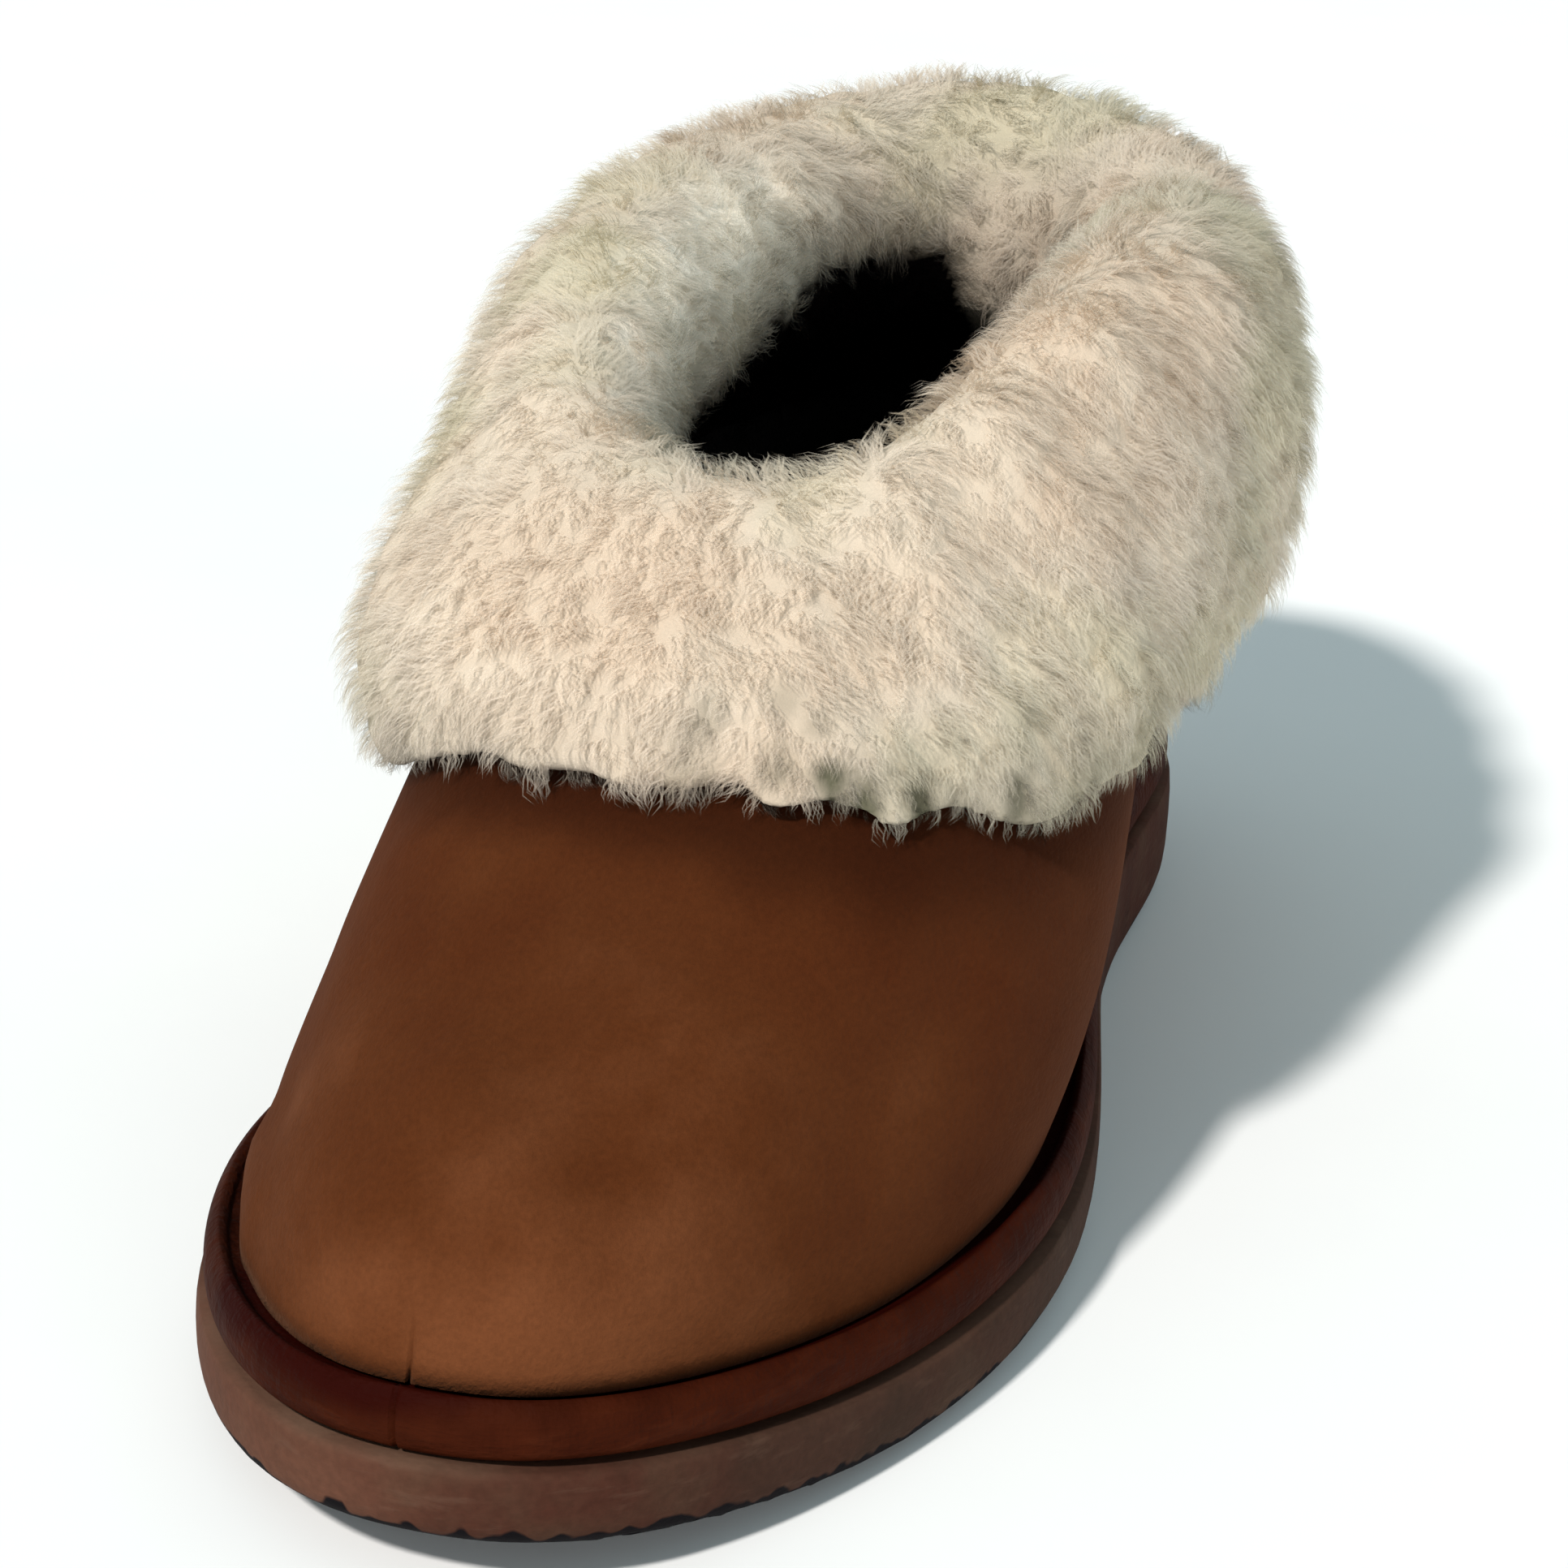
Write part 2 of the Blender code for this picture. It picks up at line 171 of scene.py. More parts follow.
def ramp(tree, value, stops):
    """A colour ramp from (place, colour) stops."""
    made = node(tree, "ShaderNodeValToRGB", {0: value})
    while len(made.color_ramp.elements) < len(stops):
        made.color_ramp.elements.new(0.5)
    for element, (place, colour) in zip(made.color_ramp.elements, stops):
        element.position = place
        element.color = (*colour, 1)
    return made.outputs[0]


def greys(*stops):
    """Stops for a ramp of greys, from pairs of place and brightness."""
    return [(place, (grey,) * 3) for place, grey in stops]


print("helpers ready: node, new_finish, shaded, carried, ramp, greys")

# %% [markdown]
# Patterns and mixtures
#
# Dirt, nap and grain are noise that is fixed to the object. Its size is given
# in waves per metre, and a stretch makes it run one way, as brush strokes do.

# %% Pattern helpers


def object_noise(tree, waves, detail=4.0, roughness=0.55, stretch=(1, 1, 1)):
    place = node(tree, "ShaderNodeTexCoord").outputs["Object"]
    turned = node(tree, "ShaderNodeMapping", {"Vector": place, "Scale": stretch}).outputs[0]
    return node(tree, "ShaderNodeTexNoise", {
        "Vector": turned, "Scale": waves, "Detail": detail, "Roughness": roughness}).outputs[0]


def bump(tree, height, distance, strength=1.0, below=None):
    """Relief from a pattern, on top of any relief below."""
    links = {"Height": height, "Distance": distance, "Strength": strength}
    if below is not None:
        links["Normal"] = below
    return node(tree, "ShaderNodeBump", links).outputs[0]


def mixed(tree, share, first, second, blend="MIX"):
    """The first colour where the share is 0, and the second where it is 1."""
    links = {0: share, 6: first, 7: second}
    return node(tree, "ShaderNodeMix", links, data_type="RGBA", blend_type=blend).outputs[2]


def mapped(tree, value, low, high, new_low=0.0, new_high=1.0):
    """Maps low to new_low and high to new_high, and goes no further than these two."""
    links = {"Value": value, 1: low, 2: high, 3: new_low, 4: new_high}
    return node(tree, "ShaderNodeMapRange", links).outputs[0]


def worked_out(tree, operation, first, second):
    return node(tree, "ShaderNodeMath", {0: first, 1: second}, operation=operation).outputs[0]


print("helpers ready: object_noise, bump, mixed, mapped, worked_out")

# %% [markdown]
# Floor
#
# The slipper stands on a plain and nearly white floor, so wide that its edge
# never shows. It lies a hair below the sole, because two surfaces in exactly
# one place would flicker through each other.

# %% Floor
FLOOR_HALF = 30
FLOOR_DROP = 0.0002
FLOOR_WAVES = 6
FLOOR_COLOURS = [(0.3, (0.86, 0.87, 0.88)), (0.7, (0.9, 0.91, 0.915))]


def make_floor():
    shape = bmesh.new()
    bmesh.ops.create_grid(shape, x_segments=1, y_segments=1, size=FLOOR_HALF)
    data = bpy.data.meshes.new("floor")
    shape.to_mesh(data)
    shape.free()
    floor = put_in_scene("floor", data)
    floor.location.z = -FLOOR_DROP
    finish, tree, out = new_finish("pale_floor")
    cloudy = ramp(tree, object_noise(tree, FLOOR_WAVES), FLOOR_COLOURS)
    shaded(tree, out, {"Base Color": cloudy, "Roughness": 0.75})
    data.materials.append(finish)
    floor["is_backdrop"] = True
    return floor


print("floor", [round(side) for side in make_floor().dimensions])

# %% [markdown]
# Light
#
# One soft key light shines from the front left, half way up the sky, and a
# weak broad one from low on the right, as a white card there would. Both are
# distant lights, so they are as even over the floor as a big lamp far away. The
# surroundings are white round the horizon, as a studio wall is, and pale blue
# above, which fills the shadows coolly.

# %% Lights and surroundings
LIGHTS = {  # degrees round and up, strength, softness in degrees, colour
    "key_light": (-18, 46, 3.55, 5.0, (1.0, 0.95, 0.90)),
    "fill_light": (40, 8, 0.9, 45.0, (1.0, 0.98, 0.95)),
}
SKY = [(0.22, (1.0, 1.0, 1.0)), (0.42, (0.246, 0.344, 0.367))]  # height, 1 overhead, and colour


def make_light(name, azimuth, elevation, strength, softness, colour):
    a, e = math.radians(azimuth), math.radians(elevation)
    towards = Vector((math.sin(a) * math.cos(e), -math.cos(a) * math.cos(e), math.sin(e)))
    light = bpy.data.lights.new(name, "SUN")
    light.energy, light.angle, light.color = strength, math.radians(softness), colour
    lamp = put_in_scene(name, light)
    lamp.location = towards
    lamp.rotation_euler = towards.to_track_quat("Z", "Y").to_euler()
    return lamp


def make_surroundings():
    sky = bpy.data.worlds.new("surroundings")
    sky.use_nodes = True
    tree = sky.node_tree
    way = node(tree, "ShaderNodeTexCoord").outputs["Generated"]
    height = node(tree, "ShaderNodeSeparateXYZ", {0: way}).outputs[2]
    tree.links.new(ramp(tree, height, SKY), tree.nodes["Background"].inputs[0])
    bpy.context.scene.world = sky


lamps = [make_light(name, *settings) for name, settings in LIGHTS.items()]
make_surroundings()
bpy.context.scene.view_settings.view_transform = "Standard"
print("lights", [lamp.name for lamp in lamps])

# %% [markdown]
# Fresh copies of the solids
#
# The solids arrive as loose triangles. A copy is welded, its triangles are
# joined back to four-sided faces, and a subdivision surface rounds it, so the
# leather and rubber look moulded instead of cut. Edges that are sharp on the
# real slipper are creased first, so that the rounding leaves them.

# %% Copy helpers
ROOT = "root"
WELD_WITHIN = 1e-6
QUAD_BEND_DEG, QUAD_SHAPE_DEG = 40, 60  # how bent and how skewed a joined face may be


def opened(data):
    """A mesh opened as a bmesh, to work on."""
    shape = bmesh.new()
    shape.from_mesh(data)
    return shape


def closed(shape, data):
    """Puts what was worked on back into its mesh."""
    shape.to_mesh(data)
    shape.free()


def fresh_shape(name):
    shape = opened(frame["nodes"][name].data)
    bmesh.ops.remove_doubles(shape, verts=shape.verts, dist=WELD_WITHIN)
    bmesh.ops.join_triangles(
        shape, faces=shape.faces, angle_face_threshold=math.radians(QUAD_BEND_DEG),
        angle_shape_threshold=math.radians(QUAD_SHAPE_DEG))
    return shape


def crease_sharp_edges(shape, degrees, amount=1.0):
    """Keeps edges sharp where the surface bends by more than this."""
    layers = shape.edges.layers.float
    layer = layers.get("crease_edge") or layers.new("crease_edge")
    for edge in shape.edges:
        if len(edge.link_faces) == 2 and edge.calc_face_angle(0) > math.radians(degrees):
            edge[layer] = amount


# %% [markdown]
# From a shape to a piece
#
# A finished shape becomes a smooth piece that rides on the slipper's one body.
# It may stand in for a solid, and a slot names its material for whoever uses
# the slipper later.

# %% Piece helpers


def add_piece(name, shape, finish, stands_for=None):
    data = bpy.data.meshes.new(name)
    for face in shape.faces:
        face.smooth = True
    closed(shape, data)
    piece = put_in_scene(name, data)
    data.materials.append(finish)
    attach(piece, ROOT)
    if stands_for:
        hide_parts(stands_for)
    return piece


def subdivide(piece, levels):
    rounder = piece.modifiers.new("rounder", "SUBSURF")
    rounder.levels = rounder.render_levels = levels
    return piece


def settled(piece):
    """Applies a piece's modifiers."""
    seen = piece.evaluated_get(bpy.context.evaluated_depsgraph_get())
    made = bpy.data.meshes.new_from_object(seen)
    piece.modifiers.clear()
    piece.data = made
    return piece


def surface_of(name):
    """A solid's surface, which tells how far away it is from any place."""
    shape = opened(frame["nodes"][name].data)
    found = BVHTree.FromBMesh(shape)
    shape.free()
    return found


upper_surface = surface_of("upper")
cuff_surface = surface_of("cuff")
band_surface = surface_of("midsole")
print("middle of the footbed to the upper, mm:",
      round(upper_surface.find_nearest(Vector((0, 0, 30 * MM)))[3] / MM, 1))

# %% [markdown]
# Suede
#
# The upper is chestnut suede. Suede is the napped flesh side of a hide: it has
# no gloss, catches a soft light at grazing angles, and shows lighter and darker
# clouds where fingers have brushed the nap. A value for wear and painted
# highlight runs along a ramp from deep and red to rubbed and pale, and two sizes
# of noise shift it about. Near the cuff a painted shadow darkens it.

# %% Suede finish
SUEDE_COLOURS = [(0.0, (0.060, 0.0142, 0.0038)), (0.5, (0.080, 0.0225, 0.0064)),
                 (1.0, (0.128, 0.042, 0.0155))]
# the painted shadow of the cuff on the suede below it
SUEDE_PAINTED_SHADOW = (0.020, 0.0046, 0.0014, 1)
CLOUD_SHIFT, STROKE_SHIFT = 0.16, 0.1  # how far clouds and brush strokes shift the wear and painted highlight
NAP_DARKNESS = 0.35


def suede_finish():
    """Suede paler where its wear and painted highlight rise, and darker near the cuff, where its
    shade attribute lays a painted shadow.
    """
    finish, tree, out = new_finish("chestnut_suede")
    clouds = object_noise(tree, 45)
    strokes = object_noise(tree, 130, 4, 0.6, (1.0, 0.45, 1.0))
    nap = object_noise(tree, 1500, 3, 0.7, (1.0, 0.6, 1.0))
    place = carried(tree, "wear_and_highlight")
    for pattern, shift in ((clouds, CLOUD_SHIFT), (strokes, STROKE_SHIFT)):
        place = worked_out(tree, "ADD", place, mapped(tree, pattern, 0.3, 0.7, -shift, shift))
    base = ramp(tree, place, SUEDE_COLOURS)
    # the painted shadow of the cuff darkens the suede just below it
    with_painted_shadow = mixed(tree, carried(tree, "shade"), base, SUEDE_PAINTED_SHADOW)
    grain = ramp(tree, nap, greys((0.3, 0.42), (0.7, 1.0)))
    shaded(tree, out, {
        "Base Color": mixed(tree, NAP_DARKNESS, with_painted_shadow, grain, "MULTIPLY"), "Roughness": 0.92,
        "Normal": bump(tree, nap, 0.00025, 0.6, bump(tree, strokes, 0.0012, 0.35)),
        "Sheen Weight": 0.06, "Sheen Roughness": 0.45, "Sheen Tint": (1.0, 0.5, 0.3, 1),
        "Specular IOR Level": 0.03})
    return finish


suede = suede_finish()
print("suede nodes", len(suede.node_tree.nodes))

# %% [markdown]
# The upper's two sides
#
# The upper is a wall with an outer and an inner side, and only the outer one is
# suede. Its inner faces, which look towards a line along the middle of the
# foot, are kept for the wool lining, a second material that comes with the
# footbed.

# %% Upper
LINING_AXIS_Z = 35 * MM
LINING_AXIS_ENDS = (-85 * MM, 85 * MM)
UPPER_SHARP_DEG, UPPER_LEVELS = 50, 2


def faces_the_foot(face):
    middle = face.calc_center_median()
    along = min(LINING_AXIS_ENDS[1], max(LINING_AXIS_ENDS[0], middle.y))
    return face.normal.dot(Vector((0, along, LINING_AXIS_Z)) - middle) > 0


upper_shape = fresh_shape("upper")
crease_sharp_edges(upper_shape, UPPER_SHARP_DEG)
for face in upper_shape.faces:
    face.material_index = 1 if faces_the_foot(face) else 0
lined = sum(face.material_index for face in upper_shape.faces)
print("upper faces", len(upper_shape.faces), "of which lined", lined)
upper = add_piece("upper_suede", upper_shape, suede, "upper")
settled(subdivide(upper, UPPER_LEVELS))
print("faces once rounded", len(upper.data.polygons))

# %% [markdown]
# Soft measures
#
# Creases, rubs, dirt and painted shade are placed in the slipper's own sizes.
# Each has to fade out softly, so two measures are used all over: how near a
# place is to a line, and how far a value has come between two others.

# %% Soft measures
SPOT = 0.1  # mm, the height of a line that is short enough to be a spot


def near_line(p, ends, reach):
    """1 on the line between two places in mm, fading to nothing at about twice the reach."""
    low, high = (Vector(end) * MM for end in ends)
    share = min(1.0, max(0.0, (p - low).dot(high - low) / (high - low).length_squared))
    return math.exp(-((p - low.lerp(high, share)).length / reach) ** 2)


def upright(foot, height=SPOT):
    """The ends of an upright line on a foot, in mm."""
    return foot, (foot[0], foot[1], foot[2] + height)


def stepped(value, low, high):
    """0 up to the low value, 1 from the high one on, and smooth between them."""
    share = min(1.0, max(0.0, (value - low) / (high - low)))
    return share * share * (3 - 2 * share)


print("half way", stepped(0.5, 0, 1), "one reach away", round(math.exp(-1), 2))

# %% [markdown]
# Wear, painted highlight and painted shadow on the upper
#
# The suede is paler towards the toe and in a few listed places on top, and
# stays deep and red on the sides. Along the toe's lower edge those places are a
# painted highlight. Just below the cuff the suede is painted darkest, a painted
# shadow of the cuff.

# %% Wear, painted highlight and painted shadow
# the three along the toe's lower edge are a painted highlight; the others are paler patches of nap
RUBS_AND_HIGHLIGHTS = (  # place and radius in mm, and how much paler
    ((-17, -76, 57), 9, 0.3), ((4, -86, 55), 9, 0.25), ((-1, -118, 41), 8, 0.4),
    ((17, -96, 48), 9, 0.3), ((20, -116, 35), 8, 0.35), ((36, -77, 41), 9, 0.25),
    ((-14, -128, 28), 8, 0.5), ((1, -133, 26), 11, 0.55), ((15, -127, 25), 10, 0.45),
    ((-30, -98, 38), 8, 0.2), ((28, -109, 21), 9, 0.25),
)
PALENESS_FROM, PALENESS_TO = (-60 * MM, 0.16), (-112 * MM, 0.46)  # place along the slipper, and how pale: paler towards the toe
SHADE_MOST, SHADE_FROM = 0.75, 0.5 * MM  # darkest painted shadow beside the cuff, up to this distance
SHADE_REACH = (7 * MM, 15 * MM)  # how far the painted shadow goes, on the inner and the outer side
SHADE_SIDES = (-20 * MM, 35 * MM)  # where across the slipper these two sides begin


def wear_and_highlight_at(p):
    wear_and_highlight = PALENESS_FROM[1] + (PALENESS_TO[1] - PALENESS_FROM[1]) * stepped(p.y, PALENESS_FROM[0], PALENESS_TO[0])
    return wear_and_highlight + sum(amount * near_line(p, upright(place), radius * MM)
                      for place, radius, amount in RUBS_AND_HIGHLIGHTS)


# the painted shadow of the cuff on the suede, darkest beside it
def painted_shadow_at(p):
    away = cuff_surface.find_nearest(p)[3]
    reach = SHADE_REACH[0] + (SHADE_REACH[1] - SHADE_REACH[0]) * stepped(p.x, *SHADE_SIDES)
    return SHADE_MOST * (1 - stepped(away, SHADE_FROM, reach))


# lays wear and painted highlight, and the painted shadow below the cuff, as attributes
def lay_wear_highlight_and_shadow(piece):
    shape = opened(piece.data)
    wear_and_highlight = shape.verts.layers.float.new("wear_and_highlight")
    shade = shape.verts.layers.float.new("shade")
    for vert in shape.verts:
        vert[wear_and_highlight], vert[shade] = wear_and_highlight_at(vert.co), painted_shadow_at(vert.co)
    worn = [vert[wear_and_highlight] for vert in shape.verts]
    closed(shape, piece.data)
    return min(worn), max(worn)


print("wear from and to", [round(wear_and_highlight, 2) for wear_and_highlight in lay_wear_highlight_and_shadow(upper)])

# %% [markdown]
# Creases
#
# Suede that has been worn is never as smooth as the last it was made on. Each
# main crease is a soft ridge or trough between two places on the upper, and
# moves the outer faces alone along their normals. A simulation would put them
# anywhere; listed one by one, they lie where a foot bends the shoe.

# %% Creases
CREASES = (  # two ends, half width and height, in mm; a trough's height is negative
    ((-11, -108, 46), (7, -124, 37), 4.5, 0.55),
    ((-3, -103, 49), (14, -115, 42), 5.0, -0.45),
    ((11, -93, 52), (24, -101, 43), 4.5, 0.5),
    ((-27, -88, 44), (-6, -97, 52), 6.0, -0.5),
    ((30, -90, 38), (38, -66, 46), 6.0, -0.5),
    ((-30, -66, 54), (-14, -76, 58), 5.0, 0.4),
    ((-35, -70, 40), (-31, -96, 33), 5.0, -0.5),
    ((-38, -30, 40), (-36, -2, 44), 6.0, -0.5),
    ((40, -22, 42), (38, 12, 46), 6.0, -0.5),
    ((-34, 40, 40), (-28, 84, 36), 6.0, -0.4),
    ((30, 52, 40), (22, 96, 36), 6.0, -0.4),
    ((-38.5, -92, 24), (-35.0, -106, 24), 5.0, 1.3),
)


def crease(piece):
    shape = opened(piece.data)
    shape.normal_update()
    shifts = []
    for vert in shape.verts:
        lift = sum(height * near_line(vert.co, (low, high), width * MM)
                   for low, high, width, height in CREASES)
        outside = all(face.material_index == 0 for face in vert.link_faces)
        shifts.append(vert.normal * lift * MM if outside else Vector())
    for vert, shift in zip(shape.verts, shifts):
        vert.co += shift
    closed(shape, piece.data)
    return max(shift.length for shift in shifts)


print("creases", len(CREASES), "highest, mm:", round(crease(upper) / MM, 2))

# %% [markdown]
# Side seams
#
# The quarters, which go round the heel, are lapped over the vamp on both sides
# and sewn down with two rows of waxed thread. The solid has the lap. Each
# stitch is a small drawn-out sphere, half sunk in the suede, because at this
# size a real thread shows as no more than a row of beads.

# %% Thread finish
THREAD_COLOURS = [(0.3, (0.022, 0.009, 0.004)), (0.7, (0.052, 0.021, 0.009))]


def thread_finish():
    finish, tree, out = new_finish("waxed_thread")
    colour = ramp(tree, object_noise(tree, 900, 2), THREAD_COLOURS)
    shaded(tree, out, {"Base Color": colour, "Roughness": 0.6, "Specular IOR Level": 0.2})
    return finish


waxed_thread = thread_finish()
print("thread nodes", len(waxed_thread.node_tree.nodes))

# %% [markdown]
# Stitches
#
# A seam is a line of points up each lap. Places a stitch apart are walked off
# along it, moved over to each row and set on the nearest suede, and the stitch
# is turned to lie along the seam.

# %% Stitches
SEAMS = (  # edge of each lap from the band up, in mm
    ((35.9, 6.8, 20.5), (38.9, 8.9, 29.2), (40.5, 12.9, 37.5), (41.2, 17.7, 45.4),
     (41.1, 23.1, 53.2)),
    ((-29.0, 0.0, 19.8), (-28.9, 1.2, 29.0), (-29.7, 4.6, 37.5), (-31.0, 9.4, 45.4),
     (-32.4, 14.9, 52.6)),
)
STITCH = (1.05 * MM, 0.33 * MM, 0.26 * MM)  # half length, width and height
STITCH_PITCH, STITCH_ROWS = 2.7 * MM, (1.5 * MM, 3.7 * MM)  # rows: distance behind the edge
STITCH_SIDES, STITCH_RINGS = 6, 4


def even_places(points, pitch):
    """Places a pitch apart along a line of points, each with the line's direction."""
    points = [Vector(p) * MM for p in points]
    left = pitch
    for low, high in zip(points, points[1:]):
        way, length = (high - low).normalized(), (high - low).length
        while left < length:
            yield low + way * left, way
            left += pitch
        left -= length


def make_stitches():
    shape = bmesh.new()
    surface = BVHTree.FromObject(upper, bpy.context.evaluated_depsgraph_get())
    for seam in SEAMS:
        for row in STITCH_ROWS:
            for place, way in even_places(seam, STITCH_PITCH):
                spot, normal, _, _ = surface.find_nearest(place + Vector((0, row, 0)))
                side = normal.cross(way).normalized()
                turn = Matrix((side.cross(normal), side, normal)).transposed().to_4x4()
                lie = Matrix.Translation(spot) @ turn @ Matrix.Diagonal((*STITCH, 1))
                bmesh.ops.create_uvsphere(
                    shape, u_segments=STITCH_SIDES, v_segments=STITCH_RINGS, radius=1, matrix=lie)
    bmesh.ops.recalc_face_normals(shape, faces=shape.faces)
    return add_piece("seam_stitches", shape, waxed_thread)


stitches = make_stitches()
print("stitch faces", len(stitches.data.polygons))

# %% [markdown]
# Leather band
#
# The band between upper and outsole is a strip of dark leather wrapped over a
# soft core. It is smoother than the suede, has a low gloss, and is finely
# creased across its width where it goes round the toe. The folds that stand
# out are rubbed a little redder, and the groove beside the suede is painted
# nearly black, a painted shade.

# %% Band finish
LEATHER_COLOURS = [(0.3, (0.021, 0.0032, 0.0007)), (0.7, (0.038, 0.0066, 0.0017))]
LEATHER_WORN = (0.060, 0.0132, 0.0043, 1)
# painted shade in the groove beside the suede
LEATHER_PAINTED_GROOVE_SHADE = (0.017, 0.0008, 0.0001, 1)


def band_finish():
    """Leather painted darker by its groove attribute, a painted shade beside the suede."""
    finish, tree, out = new_finish("mahogany_leather")
    mottling = object_noise(tree, 120)
    place = node(tree, "ShaderNodeTexCoord").outputs["Object"]
    grain = node(tree, "ShaderNodeTexVoronoi", {"Vector": place, "Scale": 1400})
    creases = object_noise(tree, 420, 3, 0.6, (1.0, 1.0, 0.25))
    folds = object_noise(tree, 150, 4, 0.6, (0.5, 0.5, 2.2))
    rubbed = ramp(tree, folds, greys((0.52, 0.0), (0.72, 0.55)))
    worn = mixed(tree, rubbed, ramp(tree, mottling, LEATHER_COLOURS), LEATHER_WORN)
    relief = bump(tree, creases, 0.0006, 0.6, bump(tree, folds, 0.0016, 0.5))
    shaded(tree, out, {
        "Base Color": mixed(tree, carried(tree, "groove"), worn, LEATHER_PAINTED_GROOVE_SHADE),
        "Roughness": 0.68, "Specular IOR Level": 0.03,
        "Normal": bump(tree, grain.outputs["Distance"], 0.00012, 0.5, relief)})
    return finish


mahogany = band_finish()
print("leather nodes", len(mahogany.node_tree.nodes))

# %% [markdown]
# The band and its groove
#
# The band is the rounded edge of the midsole's solid. The groove beside the
# suede is painted dark, a painted shade that follows from the distance to the
# suede. At the toe the painted shade reaches wider, and on the inner side a
# bulge of the suede closes the groove and holds it back.

# %% Band
BAND_SHARP_DEG, BAND_CREASE, BAND_LEVELS = 50, 0.6, 2
GROOVE_DARKNESS, GROOVE_REACH = 0.9, (1.2 * MM, 3.6 * MM)
GROOVE_WAVER, GROOVE_WAVES = 0.5 * MM, 130
GROOVE_SHIFT = 3 * MM  # how much wider or narrower it gets at most in the next two places
# where the painted shade of the groove reaches widest, and where it is held back
GROOVE_WIDEST = ((-28, -119, 24), (-8, -134, 24)), 10 * MM  # ends in mm, and reach
GROOVE_CLOSED = ((-44, -78, 19), (-37, -106, 20)), 8 * MM


# paints the groove beside the suede dark, a painted shade that grows as the suede comes nearer
def paint_groove_shade(piece):
    shape = opened(piece.data)
    groove = shape.verts.layers.float.new("groove")
    for vert in shape.verts:
        p = vert.co
        away = upper_surface.find_nearest(p)[3] + GROOVE_WAVER * noise.noise(p * GROOVE_WAVES)
        away += GROOVE_SHIFT * (near_line(p, *GROOVE_CLOSED) - near_line(p, *GROOVE_WIDEST))
        vert[groove] = GROOVE_DARKNESS * (1 - stepped(away, *GROOVE_REACH))
    closed(shape, piece.data)


band_shape = fresh_shape("midsole")
crease_sharp_edges(band_shape, BAND_SHARP_DEG, BAND_CREASE)
band = add_piece("band", band_shape, mahogany, "midsole")
settled(subdivide(band, BAND_LEVELS))
paint_groove_shade(band)
print("band faces", len(band.data.polygons))

# %% [markdown]
# The joint in the band
#
# The strip's two ends meet at the toe, a little to the inner side. The joint
# is a narrow groove across the band, and the suede has a small nick in line
# with it. Planes cut the mesh beside and on the joint, and the loop in the
# middle is pressed in.

# %% Joint and nick
JOINT_X, JOINT_HALF, JOINT_DEPTH = -4.8 * MM, 0.45 * MM, 0.9 * MM
JOINT_FRONT = -118 * MM  # only what lies in front of this is cut
JOINT_ROOM = 4 * MM  # and only what lies this near to the joint
BAND_HEIGHTS, NICK_HEIGHTS = (15 * MM, 25 * MM), (21 * MM, 27.5 * MM)
JOINT_SHALLOWEST = 0.3  # share of the depth at its two ends
LOOKS_BACK = 0.2  # of a normal along y; what looks back lies in the groove beside the suede
CUT_WITHIN, ON_JOINT_WITHIN = 1e-7, 1e-6


def cut_across(shape, x):
    """Cuts the faces round the joint along a plane across the slipper."""
    near = [f for f in shape.faces if f.calc_center_median().y < JOINT_FRONT
            and abs(f.calc_center_median().x - JOINT_X) < JOINT_ROOM]
    near += list({e for f in near for e in f.edges}) + list({v for f in near for v in f.verts})
    bmesh.ops.bisect_plane(
        shape, geom=near, dist=CUT_WITHIN, plane_co=(x, 0, 0), plane_no=(1, 0, 0))


def press_groove(piece, low, high):
    """A groove across the toe at JOINT_X, between two heights."""
    shape = opened(piece.data)
    for x in (JOINT_X - JOINT_HALF, JOINT_X, JOINT_X + JOINT_HALF):
        cut_across(shape, x)
    shape.normal_update()
    on_joint = [v for v in shape.verts
                if abs(v.co.x - JOINT_X) < ON_JOINT_WITHIN and v.co.y < JOINT_FRONT
                and low <= v.co.z <= high and v.normal.y < LOOKS_BACK]
    for vert in on_joint:
        middling = math.sin(math.pi * (vert.co.z - low) / (high - low))
        vert.co.y += JOINT_DEPTH * (JOINT_SHALLOWEST + (1 - JOINT_SHALLOWEST) * middling)
    closed(shape, piece.data)
    return len(on_joint)


print("joint", press_groove(band, *BAND_HEIGHTS), "nick", press_groove(upper, *NICK_HEIGHTS))

# %% [markdown]
# Outsole
#
# The outsole is foamed rubber in a greyer brown: matt, faintly speckled from
# the mould, tan where it is scuffed, olive where dust has settled, and painted
# black where the tread meets the ground, a painted contact shadow.

# %% Rubber finish
RUBBER_COLOURS = [(0.32, (0.037, 0.0150, 0.0092)), (0.5, (0.055, 0.0190, 0.0118)),
                  (0.68, (0.061, 0.0285, 0.0175))]
RUBBER_SCUFFED, RUBBER_POWDERED = (0.130, 0.058, 0.036, 1), (0.048, 0.030, 0.021, 1)
# the ledge is rubbed pale and painted as a highlight, where its top catches the light
RUBBER_RUBBED, RUBBER_LEDGE_RUB_AND_HIGHLIGHT = (0.110, 0.062, 0.042, 1), (0.15, 0.092, 0.062, 1)
# painted contact shadow where the tread meets the ground
RUBBER_PAINTED_CONTACT_SHADOW = (0.004, 0.003, 0.004, 1)
SPECK_DARKNESS, LEDGE_PALENESS = 0.3, 0.3
TREAD_FROM, TREAD_TO, TREAD_WAVER = 0.0019, 0.0023, 0.0007  # height of the painted contact shadow, in metres


